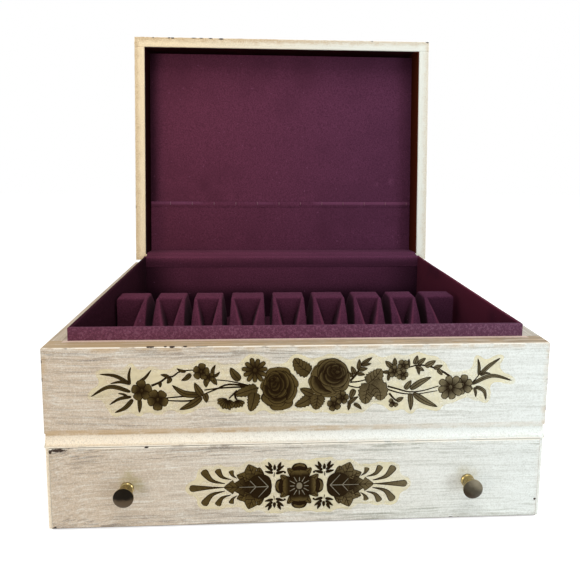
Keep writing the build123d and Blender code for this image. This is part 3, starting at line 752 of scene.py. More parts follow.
# ---------------------------------------------------------------- painted boards and metal
class ChestPaint(bpy.types.Operator):
    """Paint the case, lid and drawer front, and finish the bare boards"""

    bl_idname = "chest.paint"
    bl_label = "Paint the boards"

    def execute(self, context):
        settings = context.scene.chest_paint
        low = tuple(min(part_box(node)[0][i] for node in ("case_left", "case_front")) for i in range(3))
        high = tuple(max(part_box(node)[1][i] for node in ("case_right", "case_back")) for i in range(3))
        case, rim_height = (low, high), high[2]
        top_low, top_high = shut_box("lid_top")
        lid = (top_low.x, top_low.y, 0.0), tuple(top_high)
        drawer = [tuple(corner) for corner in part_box("drawer_front")]
        moulding = [tuple(corner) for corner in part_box("front_moulding")]
        moulding_foot, moulding_top = (corner[2] for corner in moulding)
        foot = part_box("case_front")[0].z
        case_chips = (
            (-118.8, 152.4, 3.4, 0.7), (-107.2, 152.6, 1.3, 0.6), (-101.8, 152.3, 2.0, 0.8),
            (-91.7, 152.5, 1.6, 0.6), (-202.9, 141.5, 0.8, 1.4), (-202.9, 126.9, 0.7, 1.8),
            (203.0, 118.0, 0.6, 2.2), (203.0, 96.0, 0.7, 1.4),
        )
        lid_chips = (
            (-177.7, -306.3, 1.0, 0.9), (-156.4, -306.2, 1.6, 1.0), (-151.6, -306.1, 2.2, 1.1),
            (-123.0, -306.6, 3.4, 0.7), (-112.5, -306.6, 2.6, 0.7), (-100.1, -306.4, 2.4, 0.8),
            (-85.7, -306.0, 3.2, 1.2), (123.0, -306.4, 1.0, 0.8), (200.9, -306.3, 1.8, 0.9),
        )
        drawer_chips = (
            (-192.6, 68.2, 6.2, 1.3), (-198.9, 67.0, 1.3, 1.7), (-197.6, 2.0, 1.3, 1.2),
            (198.4, 16.0, 1.0, 1.1), (127.0, 1.5, 1.8, 0.8), (133.5, 1.3, 1.1, 0.6),
            (-123.4, 69.2, 1.7, 0.6),
        )
        smears = (
            (-138.6, 40.0, 10.0, 0.55), (-138.0, 47.5, 4.5, 0.45), (-131.0, 38.5, 7.0, 0.55),
            (-128.0, 33.5, 6.0, 0.30), (136.2, 42.6, 7.5, 0.35), (145.0, 40.5, 5.0, 0.30),
        )
        for nodes, material in (
            (("case_back",), painted("case_paint_back", settings, *case, "X", rim=(rim_height, 1.0))),
            (("case_front",), painted(
                "case_paint_front", settings, *case, "X", rim=(rim_height, 1.0),
                bands=(("Z", foot + 0.0034, foot + 0.0018, 0.68),), flaws=case_chips,
            )),
            (("case_left", "case_right"), painted(
                "case_paint_sides", settings, *case, "Y", rim=(rim_height, 0.40), corner_glaze=0.18,
                clean=0.25, fresh_front=True,
            )),
            # Cleaner paint, made brighter partly as painted light on a face that tilts up; the upper band is
            # ochre glaze and painted shadow under the board above
            (("front_moulding",), painted(
                "moulding_paint", settings, *moulding, "X", corner_glaze=0.12, chips=0.2, clean=1.35,
                bands=(
                    ("Z", moulding_top - 0.0042, moulding_top - 0.0026, 0.85),
                    ("Z", moulding_foot + 0.0022, moulding_foot + 0.0012, 0.50),
                ),
            )),
            (("lid_front_rail", "lid_back_rail"), painted(
                "lid_paint_across", settings, *lid, "X", lid=True, mouth_glaze=1.0, flaws=lid_chips,
            )),
            (("lid_left_rail", "lid_right_rail"), painted(
                "lid_paint_sides", settings, *lid, "Y", lid=True, mouth_glaze=0.80, corner_glaze=0.30,
            )),
            (("lid_top",), painted("lid_top_paint", settings, *lid, "X", lid=True)),
            (("drawer_front",), painted(
                "drawer_paint", settings, *drawer, "X", corner_glaze=0.06, chips=0.0, flaws=drawer_chips,
                smudges=smears, curl=-0.115, foot_line=True,
            )),
            (
                ("case_bottom", "drawer_bottom", "drawer_back", "well_floor_board"),
                bare_board("bare_across", settings, "X"),
            ),
            (("drawer_left", "drawer_right"), bare_board("bare_sides", settings, "Y")),
        ):
            for node in nodes:
                dress(NODES[node], material)
        return {"FINISHED"}


class ChestMetal(bpy.types.Operator):
    """Finish the knobs, hinges and screws"""

    bl_idname = "chest.metal"
    bl_label = "Finish the metal"

    def execute(self, context):
        settings = context.scene.chest_metal
        low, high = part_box("knob_left")
        face_depth = 0.0024
        middle_x, middle_z = abs(low.x + high.x) / 2, (low.z + high.z) / 2
        knobs = rubbed_brass("knob_brass", settings, knob=(low.y + face_depth, middle_x, middle_z))
        hinges = rubbed_brass("hinge_brass", settings)
        screws = plain_steel("drawer_screw_steel", settings)
        for node, obj in NODES.items():
            if node in ("knob_left", "knob_right"):
                dress(obj, knobs)
            elif node.startswith("hinge_") and node != "hinge_cover":
                dress(obj, hinges)
            elif node == "knob_screws":
                dress(obj, screws)
        return {"FINISHED"}


# ---------------------------------------------------------------- cloth of the well
class ChestWellLining(bpy.types.Operator):
    """Line the well with cloth-covered boards"""

    bl_idname = "chest.well_lining"
    bl_label = "Line the well"

    def execute(self, context):
        settings = context.scene.chest_cloth
        cloth = flannel("well_flannel", settings)
        # Painted shade and light: the left wall and the floor are darker copies of the flannel, the left wall
        # darkens towards the back, the back wall towards its foot and both ends, and the right wall is a lit
        # copy
        cloths = {
            "liner_front": flannel("lip_flannel", settings, tone=1.07, nap=1.0, blotch=0.5, dust_and_sheen=0.27),
            "liner_left": flannel("left_flannel", settings, tone=0.34, shaded_bands=(("Y", 0.06, 0.13, 0.5),)),
            "liner_right": flannel("right_flannel", settings, tone=0.50, glow=0.9),
            "liner_back": flannel("back_flannel", settings, shaded_bands=(
                ("Z", 0.128, 0.104, 0.90), ("X", -0.135, -0.186, 0.80), ("X", 0.130, 0.186, 0.65),
            )),
            "liner_floor": flannel("floor_flannel", settings, tone=0.42),
        }
        nodes = ("liner_front", "liner_back", "liner_left", "liner_right", "liner_floor", "rack_base")
        for seed, node in enumerate(nodes):
            low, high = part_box(node)
            name = node.replace("liner_", "well_cloth_").replace("rack_base", "rack_foot_cloth")
            obj = cloth_board(name, low, high, cuts=12, amount=settings.nap, seed=seed)
            finish_piece(obj, "case", cloths.get(node, cloth), [node])
        return {"FINISHED"}


# Shares of the way across the hollow, along a wing's inner side and across its end, and the painted shade
# there;
# below 0 it is a painted highlight
HOLLOW_SHADING = ((0.0, 0.35), (0.35, 0.35), (0.7, 0.45), (0.93, 0.75))
WING_SIDE_SHADING = ((0.12, 0.85), (0.45, 0.75), (0.78, 0.25))
WING_END_SHADING = ((0.03, -0.4), (0.16, -0.7), (0.34, 0.0), (0.55, 0.0), (0.75, 0.0), (0.90, 0.15), (0.975, 0.7))


def block_ring(half_left, half_right, gap_left, gap_right, depth, crown, core_front, core_back):
    """Outline of a rack block at one height, going round from the middle of the front.

    A gap of None is a side with no wing. Each point is x from the middle of the hollow, y from the rack's
    centre, and its painted shading: painted shade above 0, a painted highlight below 0."""

    def quarter(half, gap, front):
        reach = core_front - depth if front else core_back + depth
        core = core_front if front else core_back
        out = -1 if front else 1
        if gap is None:
            xs = [half * step / 14 for step in range(14)]
            return [(x, core, 0.35) for x in xs] + [(half, core, 0.5), (half, core * 0.5, 1.0)]
        width = half - gap
        points = [(gap * share, core, nap) for share, nap in HOLLOW_SHADING]
        points += [(gap, core + out * depth * share, nap) for share, nap in WING_SIDE_SHADING]
        for share, nap in WING_END_SHADING:
            drop = 1 - math.sqrt(max(0.0, 1 - abs(2 * share - 0.9) ** 2.2 / 1.15 ** 2.2))
            points.append((gap + width * share, reach - out * min(crown, depth * 0.6) * drop, nap))
        points += [(half, core + out * depth * 0.45, 1.0), (half, core * 0.5, 1.0)]
        return points

    front_right = quarter(half_right, gap_right, True)
    back_right = quarter(half_right, gap_right, False)
    back_left = [(-x, y, nap) for x, y, nap in quarter(half_left, gap_left, False)]
    front_left = [(-x, y, nap) for x, y, nap in quarter(half_left, gap_left, True)]
    return front_right + back_right[::-1] + back_left[1:] + front_left[::-1][:-1]


class ChestRack(bpy.types.Operator):
    """Model the nine cloth-covered blocks of the rack"""

    bl_idname = "chest.rack"
    bl_label = "Model the rack"

    def execute(self, context):
        settings = context.scene.chest_cloth
        cloth = flannel("rack_flannel", settings, tone=0.97, blotch=0.6, painted_shading=True)
        count = 9
        throats = (9.0, 8.4, 10.4, 12.0, 13.4, 11.6, 8.8, 7.8, 9.0)
        for number in range(count):
            node = f"rack_block_{number + 1}"
            low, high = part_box(node)
            wings = number > 0, number < count - 1
            obj = self.block(node, low, high, *wings, throats[number] * MM, number)
            uneven(obj, settings.nap * 0.8, 0.012, number + 20)
            smooth(obj, 38.0)
            obj.name = f"rack_cloth_block_{number + 1}"
            finish_piece(obj, "case", cloth, [node])
        return {"FINISHED"}

    def block(self, name, low, high, wing_left, wing_right, throat, seed):
        """One block, narrower at its top. throat is how far apart its wings stand where they curl in most."""
        taper_drop, throat_drop, foot_throat, crown = 0.033, 0.025, 0.0035, 0.0035
        mouth_inset, foot_inset = 0.00495, 0.0023
        top_inset = mouth_inset - foot_inset
        wing_top, core_half, bulge, rounding = 0.0021, 0.010, 0.009, 0.0022
        height, foot_reach = high.z - low.z, (high.y - low.y) / 2
        centre_y = (low.y + high.y) / 2
        left_top = low.x + (top_inset if wing_left else 0)
        right_top = high.x - (top_inset if wing_right else 0)
        middle = (left_top + right_top) / 2
        draw = random.Random(seed + 5)
        lean = draw.uniform(-0.0005, 0.0005)
        chord = math.hypot(foot_reach - core_half, height)
        radius = (chord * chord / 4 + bulge * bulge) / (2 * bulge)

        def reach(drop):
            """Half depth of the wings at a drop below the top, on the arc from the top edge to the foot."""
            best = None
            for step in range(121):
                along = step / 120
                arch = math.sqrt(max(0.0, radius ** 2 - ((along - 0.5) * chord) ** 2)) - (radius - bulge)
                y = core_half + (foot_reach - core_half) * along + arch * height / chord
                z = height * along - arch * (foot_reach - core_half) / chord
                if best is None or abs(z - drop) < best[0]:
                    best = (abs(z - drop), y)
            return best[1]

        drops = [0.0, 0.0004, 0.0013, 0.0024, 0.0042, 0.0066, 0.0095, 0.013, 0.017, 0.021, 0.025, 0.029]
        drops += [0.033, 0.039, 0.047, 0.056, height]
        rings = []
        for drop in drops:
            taper = min(1.0, drop / taper_drop)
            inset = rounding - math.sqrt(max(0.0, rounding ** 2 - (rounding - min(drop, rounding)) ** 2))
            half_left = middle - (low.x + (top_inset * (1 - taper) if wing_left else 0)) - inset
            half_right = (high.x - (top_inset * (1 - taper) if wing_right else 0)) - middle - inset
            curve = min(1.0, drop / throat_drop) ** 0.9

            def gap(half_top, wing):
                if not wing:
                    return None
                start_gap = half_top - wing_top
                if drop <= throat_drop:
                    return start_gap + (throat / 2 + lean - start_gap) * curve
                below = (drop - throat_drop) / (height - throat_drop)
                return throat / 2 + lean + (foot_throat - throat / 2) * below

            depth = max(0.00025, reach(drop) - core_half) if drop > 0.0004 else 0.00012
            rings.append(block_ring(
                half_left, half_right,
                gap(middle - left_top, wing_left), gap(right_top - middle, wing_right),
                depth, crown, -core_half + inset * 0.8, core_half - inset * 0.8,
            ))
        columns, rows = len(rings[0]), len(rings) - 1

        def shape(across, up):
            row = round(up * rows)
            x, y, _ = rings[row][round(across * columns) % columns]
            return Vector((middle + x, centre_y + y, high.z - drops[row]))

        obj, order = laid_sheet(name, columns, rows, shape)
        painted_shading = [0.0] * len(order)
        for count, index in enumerate(order):
            row, column = divmod(count, columns + 1)
            drop, nap = drops[row], rings[row][column % columns][2]
            # Painted shade and highlight, growing down the block from nothing near its top
            painted_shading[index] = nap * min(1.0, 0.30 + drop / 0.030) if drop > 0.0014 else 0.0
        mark(obj, "painted_shading", painted_shading)

        def close_up():
            bpy.ops.mesh.remove_doubles(threshold=0.000005)
            bpy.ops.mesh.select_all(action="DESELECT")
            bpy.ops.mesh.select_non_manifold()
            bpy.ops.mesh.fill_holes(sides=0)
            bpy.ops.mesh.select_all(action="SELECT")
            bpy.ops.mesh.normals_make_consistent(inside=False)

        edit(obj, close_up)
        modify(obj, "SUBSURF", levels=1, render_levels=1, subdivision_type="SIMPLE")
        return obj


# ---------------------------------------------------------------- cloth of the lid
class ChestLidLining(bpy.types.Operator):
    """Line the lid: the panel and the inner faces of its rails"""

    bl_idname = "chest.lid_lining"
    bl_label = "Line the lid"

    def execute(self, context):
        settings = context.scene.chest_cloth
        low, high = shut_box("lid_panel")
        panel = cloth_board("lid_panel_cloth", low, high, 16, rounding=0.0008, amount=settings.nap, seed=11)
        marks = (
            (32.5, 265.8, 26.0, -0.30), (-111.4, 106.4, 16.0, -0.30), (-97.0, 88.0, 14.0, -0.25),
            (139.5, 107.4, 9.0, 0.30), (160.0, 112.0, 10.0, 0.22), (-150.0, 250.0, 30.0, -0.18),
        )
        # Painted shadow along the panel's left edge
        cloth = flannel("lid_flannel", settings, smudges=marks, shaded_bands=(("X", -0.172, -0.188, 0.75),))
        finish_piece(panel, "lid", cloth, ["lid_panel"], lid=True)

        low, high = shut_box("lid_wall_lining")
        ring = cloth_ring("lid_wall_cloth", low, high, wall=0.0012)
        round_edges(ring, 0.0004)
        dark = wall_flannel("lid_wall_flannel", settings)
        finish_piece(smooth(ring), "lid", dark, ["lid_wall_lining"], lid=True)
        return {"FINISHED"}


class ChestKnifePockets(bpy.types.Operator):
    """Model the strip of knife pockets tacked across the lid"""

    bl_idname = "chest.knife_pockets"
    bl_label = "Model the knife pockets"

    pockets: IntProperty(name="Pockets", description="Number of whole knife pockets", min=1, default=11)

    def execute(self, context):
        settings = context.scene.chest_cloth
        low, high = shut_box("pocket_band")
        pitch, first, cells, rows, hem_rows, end_cells = 0.0312, -0.1605, 12, 14, 6, 4
        columns = self.pockets * cells + 2 * end_cells
        last = first + pitch * self.pockets
        bow, hem = 0.0012, 0.0078
        strip_sunk, hem_sunk, hem_lap, hem_rise = 0.0008, 0.0012, 0.0002, 0.0005
        tack_up, tack_sunk = 0.0026, 0.0022

        def place(across):
            """Place along the strip, and how far the cloth bellies out there."""
            count = across * columns
            if count <= end_cells:
                return low.x + (first - low.x) * count / end_cells, 0.0
            if count >= columns - end_cells:
                return last + (high.x - last) * (count - columns + end_cells) / end_cells, 0.0
            x = first + (count - end_cells) * pitch / cells
            return x, bow * max(0.0, math.sin(math.pi * ((x - first) / pitch % 1.0))) ** 0.8

        def shape(across, up):
            x, belly = place(across)
            open_share = 0.25 + 0.75 * (1 - up) ** 1.5
            return Vector((x, low.y + (high.y - low.y) * up, high.z - strip_sunk - belly * open_share))

        obj, _ = laid_sheet("knife_pocket_cloth", columns, rows, shape)
        modify(obj, "SOLIDIFY", thickness=0.0006, offset=0.0)

        # Hem along the mouth of the pockets, drawn down at each tack
        def hem_shape(across, up):
            x, belly = place(across)
            rise = hem_rise * math.sin(math.pi * up)
            return Vector((x, low.y - hem_lap + hem * up, high.z - hem_sunk - belly - rise))

        band, _ = laid_sheet("knife_pocket_hem", columns, hem_rows, hem_shape)
        modify(band, "SOLIDIFY", thickness=0.0004, offset=0.0)
        obj = smooth(join([obj, band], "knife_pocket_cloth"), 60)
        scuffs = ((96.8, 92.6, 9.0, 0.35), (116.0, 78.0, 12.0, 0.16), (60.0, 40.0, 20.0, -0.2))
        cloth = flannel("pocket_flannel", settings, tone=0.94, hem=low.y + hem, smudges=scuffs)
        finish_piece(obj, "lid", cloth, ["pocket_band"], lid=True)

        # Tacks of thread between the pockets
        tacks = []
        for number in range(self.pockets + 1):
            start()
            bpy.ops.mesh.primitive_uv_sphere_add(
                segments=10, ring_count=6, radius=1.0,
                location=(first + pitch * number, low.y + tack_up, high.z - tack_sunk),
                scale=(0.0006, 0.0026, 0.0006),
            )
            tacks.append(take(f"tack_{number}"))
        thread = join(tacks, "knife_pocket_tacks")
        shader = Shader("tack_thread")
        twist = shader.noise(shader.place, 1800.0, 2.0)
        tone = shader.mix(twist, settings.thread, tinted(settings.thread, 1.5))
        cotton = shader.surface(tone, 0.8, bump=(twist, 0.4, 0.0002))
        finish_piece(smooth(thread, 60), "lid", cotton, lid=True)
        return {"FINISHED"}


class ChestHingeCloth(bpy.types.Operator):
    """Lay the cloth that covers the joint between the case and the lid"""

    bl_idname = "chest.hinge_cloth"
    bl_label = "Cover the hinge joint"

    def execute(self, context):
        settings = context.scene.chest_cloth
        hinge_y, hinge_z = HINGE["pos_m"][1] / MM, HINGE["pos_m"][2] / MM
        slope = LID_OPEN - math.pi / 2

        def on_lid(along, deep):
            """Place along the open lid from the hinge and deep into it, as y and z in millimetres."""
            return (
                hinge_y + along * math.sin(slope) + deep * math.cos(slope),
                hinge_z + along * math.cos(slope) - deep * math.sin(slope),
            )

        path = [
            (133.75, 149.5), (133.6, 153.0), (133.3, 158.5), (133.5, 162.4), (134.8, 163.7), (137.0, 163.6),
            (141.0, 162.3), (146.0, 161.6), (150.5, 162.2), on_lid(11.0, -1.4), on_lid(12.2, 0.4),
            on_lid(12.2, 6.0), on_lid(12.2, 16.0), on_lid(12.2, 28.2),
        ]
        points = [Vector((0.0, y * MM, z * MM)) for y, z in path]
        lengths = [0.0]
        for a, b in zip(points, points[1:]):
            lengths.append(lengths[-1] + (b - a).length)
        columns, rows = 60, 40
        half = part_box("liner_back")[1].x - 0.0004

        def shape(across, up):
            target = up * lengths[-1]
            index = max(i for i in range(len(points) - 1) if lengths[i] <= target + 1e-9)
            share = (target - lengths[index]) / (lengths[index + 1] - lengths[index])
            place = follow(points, (index + share) / (len(points) - 1))
            x = -half + 2 * half * across
            slack = math.sin(math.pi * min(1.0, max(0.0, (up - 0.25) / 0.35)))
            place.z += 0.0004 * slack * noise.noise(Vector((x * 22, up * 3, 4.0)))
            return Vector((x, place.y, place.z))

        obj, _ = laid_sheet("hinge_joint_cloth", columns, rows, shape)
        modify(obj, "SOLIDIFY", thickness=0.0005, offset=0.0)
        # Painted shade: darker towards the foot of the back wall and towards the left end
        shaded_bands = (("Z", 0.1625, 0.1520, 0.40), ("X", -0.150, -0.186, 0.35))
        flat = 2 * half, lengths[-1]
        cloth = flannel("hinge_flannel", settings, 1.18, follow_uv=flat, shaded_bands=shaded_bands)
        dress(smooth(obj, 60), cloth)
        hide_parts("hinge_cover")
        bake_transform(obj)
        return {"FINISHED"}


class ChestDrawerFelt(bpy.types.Operator):
    """Line the drawer with felt"""

    bl_idname = "chest.drawer_felt"
    bl_label = "Line the drawer"

    def execute(self, context):
        settings = context.scene.chest_cloth
        felt = flannel("drawer_felt", settings)
        low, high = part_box("drawer_floor_felt")
        floor = cloth_board("drawer_floor_cloth", low, high, cuts=14, rounding=0.0004, amount=0.0002, seed=31)
        finish_piece(floor, "drawer", felt, ["drawer_floor_felt"])
        low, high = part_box("drawer_wall_felt")
        ring = cloth_ring("drawer_wall_cloth", low, high, wall=0.0015)
        round_edges(ring, 0.0005)
        finish_piece(smooth(ring), "drawer", felt, ["drawer_wall_felt"])
        return {"FINISHED"}


# ---------------------------------------------------------------- ornaments
# Each width function gives a shape's width at a share of its length
def leaf_width(along):
    return 2.68 * along ** 0.55 * (1 - along) ** 0.95


def broad_width(along):
    return 2.2 * along ** 0.38 * (1 - along) ** 0.75


def spray_width(along):
    return 1.9 * along ** 0.45 * (1 - along) ** 0.75 * (1 - 0.25 * along)


def petal_width(along):
    if along < 0.62:
        return 0.25 + 0.75 * math.sin(math.pi / 2 * along / 0.62)
    return math.sqrt(max(0.0, 1 - ((along - 0.62) / 0.38) ** 2))


def drop_width(along):
    if along < 0.84:
        return 0.10 + 0.90 * (along / 0.84) ** 1.35
    return math.sqrt(max(0.0, 1 - ((along - 0.84) / 0.16) ** 2))


def round_width(along):
    return math.sqrt(max(0.0, 1 - (2 * along - 1) ** 2))


def stem_width(along):
    return 1 - 0.45 * along


def bowed(base, tip, bend):
    """Three points from base to tip, bowed to their left by a share of the length."""
    start_at, end_at = Vector(base), Vector(tip)
    way = end_at - start_at
    return base, tuple((start_at + end_at) / 2 + Vector((-way.y, way.x)) * bend), tip


def spoke(x, z, reach, angle):
    """The point at a reach and an angle in radians from a centre."""
    return x + reach * math.cos(angle), z + reach * math.sin(angle)


class Transfer:
    """A printed ornament: thin leaves, petals and stems, each a little in front of the one before.

    Places are millimetres to the right of and above a centre on the board."""

    film_gap, print_gap, print_step = 0.02, 0.03, 0.002
    unlined = 10.0

    def __init__(self, name, front, centre):
        self.name = name
        self.front = front
        self.centre = centre
        self.blades = []

    def blade(
        self, points, width, profile, shade=(0.0, 0.0), rib=False, rows=12, notch=0.0, teeth=0,
        sideways=False, rim=True, bite=0.24,
    ):
        """One shape along a line of points.

        shade runs from base to tip, or sideways from left to right: 1 is as dark as the lines, and -1 pale.
        notch is how far the tip is cut in, teeth how many notches the sides have and bite how deep they are.
        rib draws a dark line along the middle, and rim one round the edge."""
        columns = 4
        obj, order = sheet_grid(f"{self.name}_blade", columns, rows)
        spine = [Vector((x, z)) for x, z in points]
        depth = self.front - (self.print_gap + self.print_step * len(self.blades)) * MM
        edges, ribs, shades = ([0.0] * len(order) for _ in range(3))
        for count, index in enumerate(order):
            row, column = divmod(count, columns + 1)
            side, along = column / columns * 2 - 1, row / rows
            reach = along * (1 - notch * (1 - abs(side)) ** 2 * along ** 3)
            middle = follow(spine, reach)
            ahead, behind = follow(spine, min(1.0, along + 0.01)), follow(spine, max(0.0, along - 0.01))
            way = (ahead - behind).normalized()
            half = width / 2 * profile(along)
            if teeth:
                half *= 1 + bite * (0.5 - along * teeth % 1.0)
            x, z = middle + Vector((way.y, -way.x)) * side * half
            obj.data.vertices[index].co = ((self.centre[0] + x) * MM, depth, (self.centre[1] + z) * MM)
            edges[index] = (half * (1 - abs(side)) if rim else self.unlined) * MM
            ribs[index] = (half * abs(side) if rib else self.unlined) * MM
            shades[index] = shade[0] + (shade[1] - shade[0]) * ((side + 1) / 2 if sideways else along)
        for name, values in (("edge", edges), ("rib", ribs), ("shade", shades)):
            mark(obj, name, values)
        obj.data.update()
        self.blades.append(obj)

    def stem(self, *points, width=1.9):
        self.blade(points, width, stem_width, shade=(0.8, 0.8))

    def leaf(self, base, tip, width, bend=0.0, shade=(0.55, -0.05), teeth=0, profile=leaf_width, bite=0.30):
        """A leaf from base to tip; a wide one has side veins."""
        self.blade(
            bowed(base, tip, bend), width, profile, shade=shade, rib=True, rows=21, teeth=teeth, bite=bite,
        )
        if width > 9.0:
            way = Vector(tip) - Vector(base)
            aside = Vector((-way.y, way.x)).normalized() * width * 0.30
            for side in (-1, 1):
                for out in (0.28, 0.48, 0.66):
                    root = Vector(base) + way * out
                    end = root + way * 0.16 + aside * side * profile(out)
                    self.blade((tuple(root), tuple(end)), 0.55, stem_width, shade=(1.0, 1.0), rows=3)

    def leaves(self, rows, profile=leaf_width, toothed=False):
        """Leaves in rows of base, tip, width and bend; toothed makes the wide ones broad and toothed."""
        for x, z, tip_x, tip_z, width, bend in rows:
            broad = toothed and width > 8
            outline = broad_width if broad else profile
            self.leaf((x, z), (tip_x, tip_z), width, bend, teeth=7 if broad else 0, profile=outline)

    def drop(self, base, tip, width, bend=0.0, shade=(0.7, 0.0)):
        """A teardrop with its round end at the tip."""
        self.blade(bowed(base, tip, bend), width, drop_width, shade=shade, rows=18)

    def disc(self, x, z, radius, shade=(0.0, 0.0)):
        self.blade(((x, z - radius), (x, z + radius)), 2 * radius, round_width, shade=shade, rows=16)

    def flower(self, x, z, radius, petals, turn=0.0, fan=360.0, width=None, notch=0.12, heart=0.18):
        """Petals round a heart, over the whole turn or a fan of it."""
        width = width or 1.42 * radius * math.sin(math.pi / petals) * (360.0 / fan) ** -0.5
        step = fan / petals if fan == 360.0 else fan / max(1, petals - 1)
        for number in range(petals):
            angle = math.radians(turn + step * number)
            reach = radius * (1.0 if number % 2 else 0.93)
            ends = spoke(x, z, 0.10 * reach, angle), spoke(x, z, reach, angle)
            self.blade(ends, width, petal_width, shade=(1.25, -0.30), rows=10, notch=notch)
        if heart:
            self.disc(x, z, radius * heart, shade=(0.9, 0.4))

    def arc(self, centre, wide, tall, start_at, sweep, width, shade):
        """A petal's rolled edge: a crescent that follows an oval round a centre, darker on its inner side."""
        points = []
        for step in range(5):
            angle = math.radians(start_at + sweep * step / 4)
            points.append((centre.x + wide / 2 * math.cos(angle), centre.y + tall / 2 * math.sin(angle)))
        self.blade(points, width, leaf_width, shade=shade, rows=14, sideways=True)

    def rose(self, x, z, wide, tall, heart, seed=1):
        """An open rose: lobed outer petals, then rolled petal edges closing round an off-centre heart."""
        draw = random.Random(seed)
        for share, petals in ((1.0, 6), (0.84, 5)):
            middle = Vector((x, z)).lerp(Vector(heart), 1 - share)
            for number in range(petals):
                angle = math.radians(360.0 / petals * number + 40 * share + draw.uniform(-10, 10))
                reach = share * draw.uniform(0.93, 1.04)
                way = Vector((wide / 2 * reach * math.cos(angle), tall / 2 * reach * math.sin(angle)))
                ends = tuple(middle + way * 0.10), tuple(middle + way)
                broad = 2.15 * way.length * math.sin(math.pi / petals)
                self.blade(ends, broad, petal_width, shade=(1.3, -0.25), notch=0.10)
        for share, petals in ((0.84, 3), (0.66, 4), (0.50, 3), (0.36, 3), (0.22, 2)):
            middle = Vector((x, z)).lerp(Vector(heart), (1 - share) ** 0.8)
            turn = draw.uniform(0, 360)
            for number in range(petals):
                start_at = turn + 360.0 / petals * number + draw.uniform(-22, 22)
                size = 0.84 * share * draw.uniform(0.86, 1.08)
                off = Vector((draw.uniform(-0.05, 0.05), draw.uniform(-0.05, 0.05))) * wide * share
                sweep = draw.uniform(95.0, 145.0)
                broad = wide * (0.07 + 0.16 * share) * draw.uniform(0.8, 1.2)
                shade = 1.6, 0.35 - 0.7 * share
                self.arc(middle + off, wide * size, tall * size, start_at, sweep, broad, shade)
        self.disc(heart[0], heart[1], wide * 0.055, shade=(1.3, 0.5))

    def finish(self, body, material, film, margin):
        """Join the blades and lay the clear film under them, cut loosely round the print."""
        blades = join(self.blades, f"{self.name}_print")
        prints = [(vertex.co.x, 0.0, vertex.co.z) for vertex in blades.data.vertices]
        reach_out, cell, span = 10.0 * MM, 1.3 * MM, 8.0 * MM
        left, _, foot = (min(part) - reach_out for part in zip(*prints))
        right, _, top = (max(part) + reach_out for part in zip(*prints))
        columns, rows = math.ceil((right - left) / cell), math.ceil((top - foot) / cell)

        def shape(across, up):
            depth = self.front - self.film_gap * MM
            return Vector((left + (right - left) * across, depth, foot + (top - foot) * up))

        sheet, order = laid_sheet(f"{self.name}_film", columns, rows, shape)
        places = [(sheet.data.vertices[index].co.x, 0.0, sheet.data.vertices[index].co.z) for index in order]
        cells = distances(places, prints)
        # Hollows narrower than twice the span are filled
        beyond = distances(places, [place for place, away in zip(places, cells) if away > span])
        cells = [span - inward if away <= span else away for inward, away in zip(beyond, cells)]
        for _ in range(2):
            cells = soften(cells, columns + 1, rows + 1)
        far = [0.0] * len(order)
        for value, index in zip(cells, order):
            far[index] = value
        mark(sheet, "far", far)
        cut_away(sheet, [distance > margin + cell for distance in far])
        for obj, paint in ((blades, material), (sheet, film)):
            face_front(obj)
            finish_piece(obj, body, paint)


def distances(places, marks):
    """How far each place is from the nearest mark."""
    tree = kdtree.KDTree(len(marks))
    for index, place in enumerate(marks):
        tree.insert(place, index)
    tree.balance()
    return [tree.find(place)[2] for place in places]


def soften(cells, wide, tall):
    """Each number of a grid replaced by the mean of it and its neighbours."""
    made = []
    for count in range(len(cells)):
        row, column = divmod(count, wide)
        near = [
            cells[(row + up) * wide + column + across]
            for up in (-1, 0, 1) for across in (-1, 0, 1)
            if 0 <= row + up < tall and 0 <= column + across < wide
        ]
        made.append(sum(near) / len(near))
    return made


def face_front(obj):
    """Turn every face of a flat piece to the front."""
    for face in [face for face in obj.data.polygons if face.normal.y > 0]:
        face.flip()
    obj.data.update()


def ink(name, settings):
    """Bronze print with dark outlines, paler and greyer towards the light on the right."""
    shader = Shader(name)
    ramp, mix = shader.ramp, shader.mix
    x = shader.split(shader.place)[0]
    edge, rib, shade = (shader.attribute(key) for key in ("edge", "rib", "shade"))
    line = shader.most(ramp(edge, 0.00090, 0.00034), ramp(rib, 0.00052, 0.00018) * 0.90)
    grain = shader.noise(shader.place, 700.0, 3.0, 0.7)
    hatch = shader.noise(shader.scaled(shader.place, (260.0, 260.0, 90.0)), 1.0, 2.0)
    tone = mix(ramp(x, -0.02, 0.16), settings.bronze, settings.bronze_lit)
    tone = mix(ramp(grain, 0.35, 0.70) * 0.30, tone, settings.line)
    tone = mix(ramp(shade + (hatch - 0.5) * 0.5, 0.05, 0.95) * 0.90, tone, settings.line)
    tone = mix(ramp(shade, -0.30, -1.0), tone, settings.pale)
    tone = mix(line * 0.92, tone, settings.line)
    return shader.surface(tone, 0.60 + grain * 0.12, 0.02)


def film(name, settings):
    """Clear film round the print, yellowed and a little uneven."""
    shader = Shader(name)
    ramp, mix = shader.ramp, shader.mix
    far = shader.attribute("far")
    cloud = shader.noise(shader.place, 60.0, 3.0, 0.6)
    wobble = (shader.noise(shader.place, 130.0, 2.0) - 0.5) * 0.0016
    margin = settings.margin
    body = ramp(far + wobble, margin + 0.0004, margin - 0.0004)
    rim = ramp(far + wobble, margin - 0.0018, margin - 0.0004) * ramp(cloud, 0.42, 0.62)
    alpha = body * (0.26 + 0.20 * ramp(cloud, 0.38, 0.62) + 0.06 * rim)
    return shader.surface(settings.film, 0.40, 0.25, more={"Alpha": alpha})


